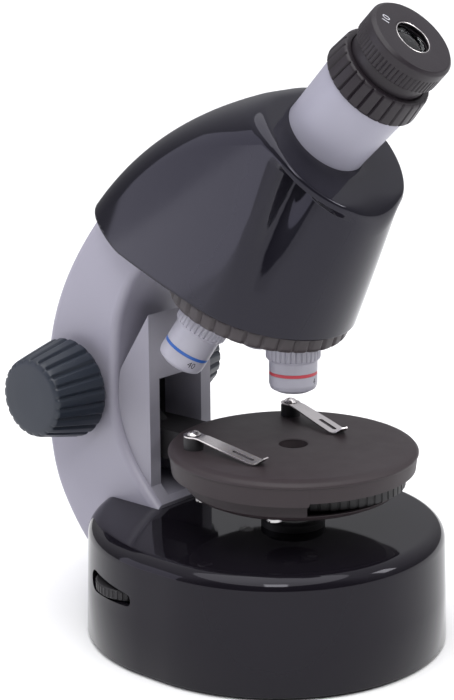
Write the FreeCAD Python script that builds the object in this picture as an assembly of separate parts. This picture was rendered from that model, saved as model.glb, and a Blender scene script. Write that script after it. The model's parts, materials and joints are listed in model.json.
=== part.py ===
import FreeCAD, Part
import math
import os

V = FreeCAD.Vector
os.makedirs("parts", exist_ok=True)

# Student microscope in millimetres, +Z up, front towards -Y, user at the front.
# Everything is drawn about the optical axis (x = 0, y = 0), with z = 0 on the bench,
# and moved at the end so that the origin is under the middle of the whole instrument.

# Fits and clearances
run_gap = 0.05         # radial running clearance of a shaft in its hole
seat_gap = 0.15        # between two fixed pieces that fit into each other
move_gap = 0.35        # between pieces that move past each other
screw_r = 1.5          # all screw shanks
screw_head_r = 2.8
screw_head_h = 1.0

# Base: a drum with a longer back, drafted wall and rounded top edge
foot_h = 1.2
foot_r = 7.0
base_front_y = 8.0     # centre of the front half circle
base_back_y = 18.0     # centre of the back half circle
base_bottom_r = 62.7
base_draft = 1.4       # the wall leans in by this much at the top
base_top_z = 44.2
base_edge_r = 5.5
base_wall = 2.4
base_top_wall = 2.6
plate_t = 2.0
screw_boss_r = 4.0
base_screw_inset = 16.7   # from the wall's foot in to the front screws
base_screw_back_in = 10.8
base_screw_turn = 56.0    # the rear screws sit this many degrees round the back
foot_front_in = 14.3
foot_back_in = 12.7
foot_front_turn = -38.3
foot_back_turn = 36.9
inlet_x = 40.0
inlet_z = 14.0
inlet_r = 4.5
inlet_len = 12.0
inlet_hole_r = 2.8
inlet_pin_r = 1.0

# Lamp in the base
collar_r = 11.6
collar_h = 3.4
collar_bore_r = 8.0
lamp_lens_r = 9.2
lamp_lens_t = 1.8
lamp_board_r = 13.0
lamp_board_t = 1.6
lamp_board_z = 29.0
led_r = 2.5
led_h = 5.2

# Dimmer wheel behind a slot in the left wall
wheel_inset = 17.9     # from the wall's foot in to the wheel's centre
wheel_x = -(base_bottom_r - wheel_inset)
wheel_y = 35.0
wheel_r = 15.5
wheel_z = 24.5
wheel_t = 3.6
wheel_teeth = 48
wheel_tooth_r = 0.55
wheel_shaft_r = 3.0
dimmer_body_half = 7.0
dimmer_body_z = 12.0
dimmer_body_h = 7.0
slot_back_y = 47.0     # the slot is the hull of a large and a small circle
slot_back_r = 3.9
slot_front_y = 25.8
slot_front_r = 2.3
slot_z = 26.6

# Batteries
cell_r = 7.0
cell_len = 49.5
cell_count = 3
cell_pitch = 15.4
cell_y = -12.0
tray_wall = 1.4
cell_nub_len = 1.2
middle_cell_short = 7.0   # the middle cell ends early to leave room for the cover's screw

# Arm: a C casting, side view given by its inner and outer curves
arm_half_w = 20.0
arm_edge_r = 3.0
arm_platform_t = 7.0
platform_front_y = -11.0
platform_back_y = 34.0
cavity_half_w = 12.0
cavity_front_y = 72.0
cavity_back_y = 94.0
cavity_low_z = 47.0
cavity_high_z = 113.5
arm_notch_front_y = 47.6
arm_notch_low_z = 13.0
arm_screw_x = 11.0
arm_screw_front_y = 56.0
arm_screw_back_y = 69.0
platform_in = 3.0      # the platform is narrower than the arm by this on each side

# Column insert in front of the arm, with the slot the stage bracket runs in
column_half_w = 17.0
column_front_y = 54.2
column_top_z = 116.6
column_knee_y = 68.6
column_knee_z = 94.2
column_slot_half_w = 11.6
column_slot_top_z = 91.5
column_foot_h = 6.5

# Focus drive
drive_y = 87.6
drive_z = 85.4
drive_shaft_r = 3.0
gear_module = 0.8
pinion_teeth = 12
pinion_half_len = 5.0
rack_half_w = 4.0
rack_low_z = 65.0
rack_high_z = 97.0
bush_r = 5.0
knob_root_x = 25.7
knob_end_x = 46.0
knob_root_r = 19.0
knob_end_r = 15.1
knob_flutes = 22
flute_r = 1.25
knob_hub_r = 12.0
knob_gap = 0.8         # between the arm's side and the knob's back
knob_dome = 1.4

# Stage carrier on two guide rods
rod_r = 2.0
rod_x = 8.0
rod_y = 76.5
carrier_half_w = 11.4
carrier_front_y = 72.6
carrier_back_y = 80.4
carrier_low_z = 60.0
carrier_high_z = 98.0
neck_half_w = 9.0
neck_top_z = 71.2
tongue_front_y = 32.0
tongue_low_z = 66.0
stage_travel_up = 12.0
gusset_h = column_slot_top_z - stage_travel_up - neck_top_z - 1.0

# Stage
stage_r = 45.0
stage_top_z = 74.4
stage_bevel = 2.6
stage_plate_t = 3.2
stage_rim_z = 65.0
stage_rim_r = 43.8
stage_skirt_t = 2.0
stage_hole_r = 5.0
window_from = -134.0   # the skirt is open between these angles for the diaphragm wheel
window_to = 44.0
window_top_z = 66.3
dish_step = 3.4        # from the inside of the skirt in to the dish
dish_r = stage_rim_r - stage_skirt_t - dish_step
dish_screw_in = 4.2
dish_wall = 1.6
dish_low_z = 57.0
dish_edge = 2.6
dish_hole_r = 10.0
diaphragm_in = 4.9
diaphragm_r = dish_r - diaphragm_in
diaphragm_x = 5.0
diaphragm_y = -5.0
diaphragm_z = 59.9
diaphragm_t = 4.8
diaphragm_ribs = 60
aperture_radii = [4.0, 3.0, 2.2, 1.5, 1.0]
pivot_r = 2.0

# Stage clips
clip_x = 27.4
clip_y = 23.4
clip_post_r = 3.6
clip_post_h = 4.6
clip_t = 0.6
clip_len = 33.5
clip_half_w = 3.4
clip_tip_rise = 2.6
clip_right_swing = 15.0   # the right clip rests swung in by this many degrees

# Nosepiece: its axis leans back at the bottom and meets the optical axis at the apex
turret_tilt = 18.5
turret_apex_z = 169.6
turret_top = 44.4      # distances from the apex down the nosepiece axis
turret_low = 50.9
turret_r = 33.0
turret_wall = 3.4
turret_floor_t = 3.4
turret_lobes = 34
turret_groove_r = 1.2
turret_groove_out = 0.4
pivot_bolt_r = 2.5
detent_turn = 60.0     # the click spring sits between two objectives
objective_seat = 55.2  # distances from the apex down each objective's own axis
collar_end = 64.0
objective_r = 8.65
objective_collar_r = 9.8
objective_tip_r = 5.6
thread_r = 7.6
light_r = 5.0
thread_len = 4.2
objective_tip_len = 3.0
colour_ring_up = 7.6   # from the objective's tip up to its colour ring
colour_ring_w = 1.2
colour_ring_depth = 0.25
collar_ribs = 32
objective_ends = {"4x": 75.4, "40x": 79.0, "10x": 77.0}
objective_turns = {"4x": 0.0, "40x": 120.0, "10x": 240.0}
front_lens_radii = {"4x": 3.6, "40x": 1.4, "10x": 2.6}

# Head casing: between the nosepiece plane and a face square to the eyepiece tube
head_low_r = 34.2
head_low_y = 14.1
head_wall = 2.4
head_top_r = 28.2
head_face_y = -17.9
head_face_z = 183.5
head_tail_len = 84.0
head_tail_low_w = 21.5
head_tail_top_w = 17.0
head_face_edge_r = 2.6
head_face_up = 26.0     # from the face's centre up to where the crown starts
head_crown = (43.0, 184.2)
head_tail = (75.0, 157.8)
head_rim_middle = (61.6, 144.8)
head_rim_y = 45.5
head_ridge_r = 10.0
head_low_lift = 1.5
scoop_r = 9.0           # hollow between cheek and nose, along a line through these two points
scoop_high = (28.0, -25.5, 176.0)
scoop_high_depth = 5.6
scoop_low = (28.4, -8.6, 131.4)
scoop_low_depth = 1.0
scoop_ledge = 3.0       # the face's edge stands over the hollow by this much
head_top_lift = 4.0

# Eyepiece tube, square to the head's face
tube_angle = 45.0
tube_foot_y = -16.6
tube_foot_z = 188.5
tube_sink = 7.0
tube_len = 22.6
tube_low_r = 15.5
tube_high_r = 16.3
barrel_r = 11.6
barrel_wall = 1.2
grip_len = 10.0
grip_low_r = 18.1
grip_high_r = 17.2
grip_ribs = 26
groove_len = 4.8
groove_r = 14.4
eyecup_len = 9.4
eyecup_r = 16.0
eye_lens_r = 7.4


def box(x0, x1, y0, y1, z0, z1):
    return Part.makeBox(x1 - x0, y1 - y0, z1 - z0, V(x0, y0, z0))


def rod(radius, z0, z1, x=0.0, y=0.0):
    return Part.makeCylinder(radius, z1 - z0, V(x, y, z0))


def cross_rod(radius, x0, x1, y, z):
    return Part.makeCylinder(radius, x1 - x0, V(x0, y, z), V(1, 0, 0))


def tube(outer_r, inner_r, z0, z1, x=0.0, y=0.0):
    return rod(outer_r, z0, z1, x, y).cut(rod(inner_r, z0 - 1, z1 + 1, x, y))


def turned(points):
    """Solid of revolution about Z from a closed outline of (radius, z) points."""
    outline = Part.makePolygon([V(r, 0, z) for r, z in points + points[:1]])
    return Part.Face(outline).revolve(V(0, 0, 0), V(0, 0, 1), 360)


def side_slab(edges, half_w):
    """Extrude a closed side outline, drawn in the plane x = 0, to both sides."""
    face = Part.Face(Part.Wire(Part.__sortEdges__(edges)))
    face.translate(V(-half_w, 0, 0))
    return face.extrude(V(2 * half_w, 0, 0))


def line(a, b):
    return Part.LineSegment(V(0, *a), V(0, *b)).toShape()


def arc(a, middle, b):
    return Part.Arc(V(0, *a), V(0, *middle), V(0, *b)).toShape()


def curve(points):
    spline = Part.BSplineCurve()
    spline.interpolate([V(0, y, z) for y, z in points])
    return spline.toShape()


def polyline(points):
    return [line(a, b) for a, b in zip(points, points[1:])]


def around(shape, count, x=0.0, y=0.0):
    """Copies of a shape turned evenly about a vertical axis."""
    copies = []
    for i in range(count):
        copy = shape.copy()
        copy.rotate(V(x, y, 0), V(0, 0, 1), 360.0 * i / count)
        copies.append(copy)
    return copies


def group(shapes):
    return Part.makeCompound(shapes)


def screw(x, y, head_z, tip_z):
    """Screw put in from below: its head ends at head_z and its tip points up."""
    head = rod(screw_head_r, head_z - screw_head_h, head_z, x, y)
    slot = box(x - screw_head_r, x + screw_head_r, y - 0.4, y + 0.4,
               head_z - screw_head_h - 1, head_z - screw_head_h + 0.5)
    return head.cut(slot).fuse(rod(screw_r, head_z, tip_z, x, y)).removeSplitter()


# Base

def stadium(radius, z):
    front = Part.Arc(V(-radius, base_front_y, z), V(0, base_front_y - radius, z),
                     V(radius, base_front_y, z)).toShape()
    right = Part.LineSegment(V(radius, base_front_y, z), V(radius, base_back_y, z)).toShape()
    back = Part.Arc(V(radius, base_back_y, z), V(0, base_back_y + radius, z),
                    V(-radius, base_back_y, z)).toShape()
    left = Part.LineSegment(V(-radius, base_back_y, z), V(-radius, base_front_y, z)).toShape()
    return Part.Wire([front, right, back, left])


def drum(inset, low_z, high_z, edge_r):
    """Drafted drum whose wall follows the base at a given inset."""
    slope = base_draft / base_top_z
    low = stadium(base_bottom_r - inset - slope * low_z, low_z)
    high = stadium(base_bottom_r - inset - slope * high_z, high_z)
    body = Part.makeLoft([low, high], True, True)
    top_edges = [e for e in body.Edges if e.BoundBox.ZMin > high_z - 0.01]
    return body.makeFillet(edge_r, top_edges)


arm_foot_low_z = foot_h + plate_t


def round_back(inset, turn, centre_y=base_back_y):
    """Mirrored spots at an inset from the wall's foot, turned up from the side."""
    r = base_bottom_r - inset
    a = math.radians(turn)
    x, y = r * math.cos(a), centre_y + r * math.sin(a)
    return [(-x, y), (x, y)]


def base_screw_spots():
    front_x = base_bottom_r - base_screw_inset
    front_y = base_front_y - 2 * base_edge_r - 5.0
    return [(-front_x, front_y), (front_x, front_y)] + round_back(base_screw_back_in, base_screw_turn)


def slot_hull():
    """Slot outline seen from the side, pushed through the left wall."""
    dy = slot_back_y - slot_front_y
    tilt = math.asin((slot_back_r - slot_front_r) / dy)
    up = (math.sin(tilt), math.cos(tilt))
    def spot(y, r, side):
        return (y - r * up[0], slot_z + side * r * up[1])
    edges = [line(spot(slot_back_y, slot_back_r, 1), spot(slot_front_y, slot_front_r, 1)),
             arc(spot(slot_front_y, slot_front_r, 1), (slot_front_y - slot_front_r, slot_z),
                 spot(slot_front_y, slot_front_r, -1)),
             line(spot(slot_front_y, slot_front_r, -1), spot(slot_back_y, slot_back_r, -1)),
             arc(spot(slot_back_y, slot_back_r, -1), (slot_back_y + slot_back_r, slot_z),
                 spot(slot_back_y, slot_back_r, 1))]
    slab = side_slab(edges, base_bottom_r)
    return slab.common(box(-base_bottom_r, -arm_half_w, -base_bottom_r, 2 * base_bottom_r,
                           0, base_top_z))


def make_base_shell():
    shell = drum(0, foot_h, base_top_z, base_edge_r)
    inside = drum(base_wall, foot_h - 1, base_top_z - base_top_wall, base_edge_r - base_wall)
    shell = shell.cut(inside)
    bosses = [rod(screw_boss_r, foot_h + plate_t, base_top_z - base_top_wall, x, y)
              for x, y in base_screw_spots()]
    shell = shell.fuse(bosses)
    pilots = [rod(screw_r + run_gap, 0, screw_tip_z() + 1, x, y) for x, y in base_screw_spots()]
    notch = box(-arm_half_w - seat_gap, arm_half_w + seat_gap, arm_notch_front_y,
                2 * base_bottom_r, arm_notch_low_z, base_top_z + 1)
    lamp_hole = rod(collar_bore_r + 1.5 + seat_gap, base_top_z - 10, base_top_z + 1)
    inlet = Part.makeCylinder(inlet_r + seat_gap, base_bottom_r, V(inlet_x, base_back_y, inlet_z),
                              V(0, 1, 0))
    return shell.cut(pilots + [notch, lamp_hole, inlet, slot_hull()]).removeSplitter()


def make_base_plate():
    radius = base_bottom_r - base_wall - seat_gap - base_draft * 0.1
    plate = Part.Face(stadium(radius, foot_h)).extrude(V(0, 0, plate_t))
    cuts = [rod(screw_r + run_gap, 0, screw_tip_z(), x, y)
            for x, y in base_screw_spots() + arm_screw_spots()]
    cuts += [rod(foot_r / 2 + run_gap, 0, screw_tip_z(), x, y) for x, y in foot_spots()]
    cuts.append(battery_door(seat_gap, foot_h - 1, foot_h + plate_t + 1))
    return plate.cut(cuts)


def arm_screw_spots():
    return [(-arm_screw_x, arm_screw_front_y), (arm_screw_x, arm_screw_front_y), (0.0, arm_screw_back_y)]


def foot_spots():
    return round_back(foot_front_in, foot_front_turn, base_front_y) + round_back(foot_back_in, foot_back_turn)


def screw_tip_z():
    return foot_h + plate_t + 6 * screw_r


def make_feet():
    feet = []
    for x, y in foot_spots():
        pad = rod(foot_r, 0, foot_h, x, y)
        plug = rod(foot_r / 2, foot_h, foot_h + plate_t, x, y)
        feet.append(pad.fuse(plug).removeSplitter())
    return group(feet)


def make_base_screws():
    return group([screw(x, y, foot_h, screw_tip_z()) for x, y in base_screw_spots()])


def make_arm_screws():
    return group([screw(x, y, foot_h, screw_tip_z()) for x, y in arm_screw_spots()])


def bay_half_w():
    return cell_pitch * cell_count / 2 + 0.6


def bay_half_len():
    return cell_len / 2 + 1.6


def battery_door(grow, z0, z1):
    half_w = bay_half_w() + grow
    half_len = bay_half_len() + grow
    return box(-half_w, half_w, cell_y - half_len, cell_y + half_len, z0, z1)


def make_battery_cover():
    door = battery_door(-seat_gap, foot_h, foot_h + plate_t)
    ribs = [box(-8, 8, cell_y - 22 - 1.2 * i, cell_y - 21.4 - 1.2 * i, foot_h - 0.01, foot_h + 0.3)
            for i in range(3)]
    hole = rod(screw_r + run_gap, 0, 10, 0, cell_y + bay_half_len() - 4)
    return door.cut(ribs + [hole])


def make_battery_tray():
    low = foot_h + plate_t
    high = low + 2 * cell_r + 0.8
    outer = battery_door(tray_wall, low, high + tray_wall)
    bay = battery_door(0, low - 1, high)
    tray = outer.cut(bay)
    for i in range(1, cell_count):
        x = -bay_half_w() + 0.6 + cell_pitch * i
        tray = tray.fuse(box(x - 0.4, x + 0.4, cell_y - bay_half_len(), cell_y + bay_half_len(),
                             low + cell_r, high + 0.5))
    posts = [rod(2.6, high, lamp_board_z, x, 0) for x in (-9.0, 9.0)]
    boss = box(-3.2, 3.2, cell_y + bay_half_len() - 6.4, cell_y + bay_half_len() + 0.1, low, low + 6)
    pilot = rod(screw_r + run_gap, 0, low + 5, 0, cell_y + bay_half_len() - 4)
    return tray.fuse(posts + [boss]).cut(pilot).removeSplitter()


def make_battery_screw():
    return screw(0, cell_y + bay_half_len() - 4, foot_h, foot_h + plate_t + 4)


def cell_short(i):
    return middle_cell_short if i == 1 else 0.0


def cell_x(i):
    return (i - (cell_count - 1) / 2) * cell_pitch


def make_batteries():
    cells = []
    z = foot_h + plate_t + 0.3 + cell_r
    for i in range(cell_count):
        front = cell_y - cell_len / 2
        can_len = cell_len - cell_nub_len - cell_short(i)
        can = Part.makeCylinder(cell_r, can_len, V(cell_x(i), front + 0.2, z), V(0, 1, 0))
        nub = Part.makeCylinder(cell_r * 0.38, cell_nub_len - 0.2, V(cell_x(i), front + can_len + 0.2, z),
                                V(0, 1, 0))
        cells.append(can.fuse(nub).removeSplitter())
    return group(cells)


def make_battery_contacts():
    plates = []
    z = foot_h + plate_t + 0.3 + cell_r
    for i in range(cell_count):
        for side in (-1, 1):
            y = cell_y + side * (bay_half_len() - 0.5)
            if side == 1:
                y -= cell_short(i)
            plates.append(box(cell_x(i) - 4, cell_x(i) + 4, y - 0.2, y + 0.2, z - 4, z + 4))
    return group(plates)


def make_lamp_board():
    return rod(lamp_board_r, lamp_board_z, lamp_board_z + lamp_board_t)


def make_lamp_led():
    low = lamp_board_z + lamp_board_t
    body = rod(led_r, low, low + led_h - led_r)
    dome = Part.makeSphere(led_r, V(0, 0, low + led_h - led_r))
    flange = rod(led_r + 0.4, low, low + 0.8)
    return body.fuse([dome, flange]).removeSplitter()


def make_lamp_collar():
    top = base_top_z + collar_h
    ledge = top - lamp_lens_t - 0.8
    neck_r = collar_bore_r + 1.5
    outline = [(collar_bore_r, base_top_z - 4), (neck_r, base_top_z - 4), (neck_r, base_top_z),
               (collar_r, base_top_z), (collar_r, top - 1.0), (collar_r - 1.0, top),
               (lamp_lens_r + seat_gap, top), (lamp_lens_r + seat_gap, ledge), (collar_bore_r, ledge)]
    return turned(outline)


def make_lamp_lens():
    low = base_top_z + collar_h - lamp_lens_t - 0.8
    disc = rod(lamp_lens_r, low, low + lamp_lens_t)
    bulge = Part.makeSphere(30.0, V(0, 0, low + lamp_lens_t + 0.7 - 30.0))
    return disc.fuse(bulge.common(rod(lamp_lens_r - 1, low, low + 10))).removeSplitter()


def make_dimmer_wheel():
    high = wheel_z + wheel_t
    wheel = rod(wheel_r, wheel_z, high, wheel_x, wheel_y)
    rims = [e for e in wheel.Edges if abs(e.Length - 2 * math.pi * wheel_r) < 0.1]
    wheel = wheel.makeChamfer(0.5, rims)
    tooth = rod(wheel_tooth_r, wheel_z - 1, high + 1, wheel_x + wheel_r + 0.15, wheel_y)
    wheel = wheel.cut(around(tooth, wheel_teeth, wheel_x, wheel_y))
    return wheel.cut(rod(wheel_shaft_r + run_gap, wheel_z - 1, high + 1, wheel_x, wheel_y))


def make_dimmer():
    half = dimmer_body_half
    body_top = dimmer_body_z + dimmer_body_h
    body = box(wheel_x - half, wheel_x + half, wheel_y - half, wheel_y + half,
               dimmer_body_z, body_top)
    collar = rod(wheel_shaft_r + 2, body_top, wheel_z - move_gap, wheel_x, wheel_y)
    shaft = rod(wheel_shaft_r, body_top, wheel_z + wheel_t + 0.6, wheel_x, wheel_y)
    return body.fuse([collar, shaft]).removeSplitter()


def make_dimmer_bracket():
    half = dimmer_body_half
    low = foot_h + plate_t
    legs = box(wheel_x - half, wheel_x + half, wheel_y - half, wheel_y + half, low, dimmer_body_z)
    gap = box(wheel_x - half + 2, wheel_x + half - 2, wheel_y - half - 1, wheel_y + half + 1,
              low + 2, dimmer_body_z - 1.5)
    return legs.cut(gap)


def make_power_inlet():
    wall_y = base_back_y + math.sqrt((base_bottom_r - 0.5) ** 2 - inlet_x ** 2)
    front_y = wall_y - inlet_len
    body = Part.makeCylinder(inlet_r, inlet_len, V(inlet_x, front_y, inlet_z), V(0, 1, 0))
    hole = Part.makeCylinder(inlet_hole_r, inlet_len, V(inlet_x, front_y + 3, inlet_z), V(0, 1, 0))
    pin = Part.makeCylinder(inlet_pin_r, inlet_len - 2, V(inlet_x, front_y + 2, inlet_z), V(0, 1, 0))
    bracket = box(inlet_x - 3, inlet_x + 3, front_y + 1, front_y + 6, foot_h + plate_t, inlet_z - 3)
    return body.cut(hole).fuse([pin, bracket]).removeSplitter()


# Arm and column

inner_curve = [(48.6, 45.0), (58.8, 55.6), (66.4, 67.6), (70.0, 81.0), (69.4, 97.0),
               (66.6, 114.0), (59.5, 128.2), (48.4, 139.4)]
outer_curve = [(74.0, 13.4), (86.9, 22.9), (95.2, 33.3), (101.3, 44.2), (105.9, 66.0),
               (105.6, 90.0), (102.6, 106.0), (95.6, 123.5), (85.6, 139.4), (73.0, 154.6)]


def nose_point(y, depth):
    """Point (y, z) on the plane square to the nosepiece axis at a depth below the apex."""
    tilt = math.radians(turret_tilt)
    return (y, turret_apex_z - (depth - y * math.sin(tilt)) / math.cos(tilt))


def make_arm_bow():
    """The visible C of the arm, rounded along its inner and outer edges."""
    front_low = (inner_curve[0][0], arm_foot_low_z)
    back_low = (outer_curve[0][0], arm_foot_low_z)
    edges = [curve(inner_curve), curve(outer_curve)]
    edges += polyline([inner_curve[0], front_low, back_low, outer_curve[0]])
    edges += polyline([inner_curve[-1], outer_curve[-1]])
    bow = side_slab(edges, arm_half_w)
    long_edges = [e for e in bow.Edges if e.Length > 90]
    return bow.makeFillet(arm_edge_r, long_edges)


def make_arm_platform():
    """Level part of the arm inside the head, above the nosepiece."""
    seat = turret_top - 3.2
    root = inner_curve[-1]
    join = nose_point(root[0] - 0.8, seat)
    under = nose_point(platform_front_y, seat)
    over = nose_point(platform_front_y, seat - arm_platform_t)
    shoulder = nose_point(platform_back_y, seat - arm_platform_t)
    rise = (platform_back_y + 4.0, shoulder[1] + 11.0)
    back = outer_curve[-1]
    points = [root, join, under, over, shoulder, rise, (back[0] - 6.0, back[1] - 1.0),
              (back[0] - 8.0, back[1] - 14.0), root]
    return side_slab(polyline(points), arm_half_w - platform_in)


def make_arm():
    arm = make_arm_bow().fuse(make_arm_platform()).removeSplitter()
    cavity = box(-cavity_half_w, cavity_half_w, cavity_front_y, cavity_back_y,
                 cavity_low_z, cavity_high_z)
    mouth = box(-cavity_half_w, cavity_half_w, column_front_y - 12, cavity_front_y + 1,
                cavity_low_z, column_slot_top_z)
    bores = [cross_rod(bush_r + run_gap, -knob_end_x, knob_end_x, drive_y, drive_z)]
    bores += [rod(rod_r + run_gap, cavity_low_z - 6, cavity_high_z + 6, x, rod_y)
              for x in (-rod_x, rod_x)]
    bores += [rod(screw_r + run_gap, 0, screw_tip_z() + 0.5, x, y) for x, y in arm_screw_spots()]
    bores.append(rod(light_r + 1.5, turret_apex_z - 60, turret_apex_z))
    bores.append(on_turret(rod(pivot_bolt_r + run_gap, turret_top - 10, turret_top)))
    bores += [on_turret(rod(screw_r + run_gap, turret_top - 10, turret_top, x, y))
              for x, y in seat_screw_spots()]
    return arm.cut([cavity, mouth] + bores)


def make_column():
    """Insert between the arm's inner curve and a flat front, open where the bracket runs."""
    low_z = base_top_z + seat_gap
    back = [(y - seat_gap, z) for y, z in inner_curve if z < column_knee_z]
    knee = (column_knee_y, column_knee_z)
    back_curve = curve(back + [knee])
    edges = [back_curve]
    edges += polyline([knee, (column_front_y, column_top_z), (column_front_y, low_z + column_foot_h), back[0]])
    column = side_slab(edges, column_half_w)
    slot = box(-column_slot_half_w, column_slot_half_w, column_front_y - 20, cavity_front_y + 5,
               0, column_slot_top_z)
    return column.cut(slot)


def make_guide_rods():
    return group([rod(rod_r, cavity_low_z - 5, cavity_high_z + 5, x, rod_y)
                  for x in (-rod_x, rod_x)])


# Focus drive

def pinion_outline():
    pitch_r = gear_module * pinion_teeth / 2
    base_r = pitch_r * math.cos(math.radians(20))
    tip_r = pitch_r + 0.9 * gear_module
    root_r = pitch_r - 1.1 * gear_module
    half = math.pi / (2 * pinion_teeth) - 0.03
    inv = lambda r: math.tan(math.acos(base_r / r)) - math.acos(base_r / r)
    flank = [base_r + (tip_r - base_r) * k / 4 for k in range(5)]
    points = []
    for tooth in range(pinion_teeth):
        middle = 2 * math.pi * tooth / pinion_teeth
        for side in (-1, 1):
            radii = flank if side < 0 else flank[::-1]
            if side < 0:
                points.append((root_r, middle - half - inv(pitch_r)))
            for r in radii:
                points.append((r, middle + side * (half + inv(pitch_r) - inv(r))))
            if side > 0:
                points.append((root_r, middle + half + inv(pitch_r)))
    return [(r * math.cos(a), r * math.sin(a)) for r, a in points]


def make_pinion():
    corners = [V(-pinion_half_len, drive_y - y, drive_z + z) for y, z in pinion_outline()]
    face = Part.Face(Part.makePolygon(corners + corners[:1]))
    gear = face.extrude(V(2 * pinion_half_len, 0, 0))
    hub = cross_rod(drive_shaft_r + run_gap, -10, 10, drive_y, drive_z)
    return gear.cut(hub)


def make_rack():
    pitch = math.pi * gear_module
    pitch_y = drive_y - gear_module * pinion_teeth / 2
    tip_y = pitch_y + 0.65 * gear_module
    root_y = pitch_y - 1.1 * gear_module
    lean = math.tan(math.radians(20))
    half = pitch / 4 - 0.06
    first = math.ceil((rack_low_z - drive_z) / pitch)
    last = math.floor((rack_high_z - drive_z) / pitch)
    points = [(carrier_back_y, rack_low_z), (root_y, rack_low_z)]
    for k in range(first, last):
        middle = drive_z + (k + 0.5) * pitch
        root_half = half + (pitch_y - root_y) * lean
        tip_half = half - (tip_y - pitch_y) * lean
        points += [(root_y, middle - root_half), (tip_y, middle - tip_half),
                   (tip_y, middle + tip_half), (root_y, middle + root_half)]
    points += [(root_y, rack_high_z), (carrier_back_y, rack_high_z)]
    return side_slab(polyline(points + points[:1]), rack_half_w)


def make_focus_shaft():
    return cross_rod(drive_shaft_r, -knob_end_x + 3, knob_end_x - 3, drive_y, drive_z)


def make_bushes():
    bushes = []
    inner_x = cavity_half_w + 0.5
    for start in (-arm_half_w, inner_x):
        sleeve = cross_rod(bush_r, start, start + arm_half_w - inner_x, drive_y, drive_z)
        bore = cross_rod(drive_shaft_r + run_gap, -knob_end_x, knob_end_x, drive_y, drive_z)
        bushes.append(sleeve.cut(bore))
    return group(bushes)


def make_knob(side):
    """Tapered fluted knob, drawn about Z and laid along X."""
    back_x = arm_half_w + knob_gap
    outline = [(0, back_x), (knob_hub_r - 1.0, back_x), (knob_hub_r, back_x + 1.6),
               (knob_root_r - 1.0, knob_root_x - 1.6),
               (knob_root_r, knob_root_x), (knob_end_r, knob_end_x - 2.2),
               (knob_end_r - 0.7, knob_end_x - 0.9), (knob_end_r - 2.4, knob_end_x - 0.2),
               (knob_end_r * 0.5, knob_end_x - 0.2 + knob_dome * 0.15), (0, knob_end_x)]
    knob = turned(outline)
    lean = math.atan2(knob_root_r - knob_end_r, knob_end_x - knob_root_x)
    start = V(knob_root_r + 0.45, 0, knob_root_x - 0.6)
    direction = V(-math.sin(lean), 0, math.cos(lean))
    flute = Part.makeCylinder(flute_r, knob_end_x, start, direction)
    knob = knob.cut(around(flute, knob_flutes))
    knob = knob.cut(rod(drive_shaft_r + run_gap, 0, knob_end_x - 2.8))
    knob.rotate(V(0, 0, 0), V(0, 1, 0), 90.0 * side)
    knob.translate(V(0, drive_y, drive_z))
    return knob


def make_carrier():
    block = box(-carrier_half_w, carrier_half_w, carrier_front_y, carrier_back_y,
                carrier_low_z, carrier_high_z)
    neck = box(-neck_half_w, neck_half_w, stage_r - 1, carrier_front_y + 1, carrier_low_z, neck_top_z)
    tongue = box(-neck_half_w, neck_half_w, tongue_front_y, stage_r, tongue_low_z, neck_top_z)
    gusset = side_slab(polyline([(carrier_front_y, neck_top_z), (carrier_front_y - 9, neck_top_z),
                                 (carrier_front_y, neck_top_z + gusset_h), (carrier_front_y, neck_top_z)]),
                       3.0)
    body = block.fuse([neck, tongue, gusset]).removeSplitter()
    bores = [rod(rod_r + run_gap, 0, 200, x, rod_y) for x in (-rod_x, rod_x)]
    bores += [rod(screw_r + run_gap, 0, 200, x, y) for x, y in stage_screw_spots()]
    return body.cut(bores)


def stage_screw_spots():
    return [(-5.5, 36.0), (5.5, 36.0)]


# Stage

def sector(radius, start, end, z0, z1):
    """Solid wedge about the optical axis between two angles."""
    wedge = Part.makeCylinder(radius, z1 - z0, V(0, 0, z0), V(0, 0, 1), end - start)
    wedge.rotate(V(0, 0, 0), V(0, 0, 1), start)
    return wedge


def make_stage_plate():
    top = stage_top_z
    under = top - stage_plate_t
    inner_r = stage_rim_r - stage_skirt_t
    outline = [(0, under), (inner_r, under), (inner_r, stage_rim_z), (stage_rim_r, stage_rim_z),
               (stage_r, top - stage_bevel), (stage_r - 0.6, top - stage_bevel + 0.9),
               (stage_r - 2.4, top - 0.4), (stage_r - 3.6, top), (0, top)]
    plate = turned(outline)
    cuts = [rod(stage_hole_r, 0, 100)]
    ring = tube(stage_r + 5, stage_rim_r - stage_skirt_t - 1, stage_rim_z - 1, window_top_z)
    cuts.append(ring.common(sector(60, window_from, window_to, 0, 100)))
    cuts.append(box(-neck_half_w - seat_gap, neck_half_w + seat_gap, tongue_front_y, stage_r + 5,
                    stage_rim_z - 1, under))
    cuts += [rod(screw_r + run_gap, 0, top - 1.0, x, y) for x, y in stage_screw_spots()]
    cuts += [rod(screw_r + run_gap, 0, top - 1.0, x, y) for x, y in dish_screw_spots()]
    cuts += [rod(screw_r + run_gap, under + 1, top + 1, x, clip_y) for x in (-clip_x, clip_x)]
    return plate.cut(cuts)


def dish_screw_spots():
    spots = []
    for angle in (208.0, 150.0, 70.0):
        a = math.radians(angle)
        spots.append(((dish_r - dish_screw_in) * math.cos(a), (dish_r - dish_screw_in) * math.sin(a)))
    return spots


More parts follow.
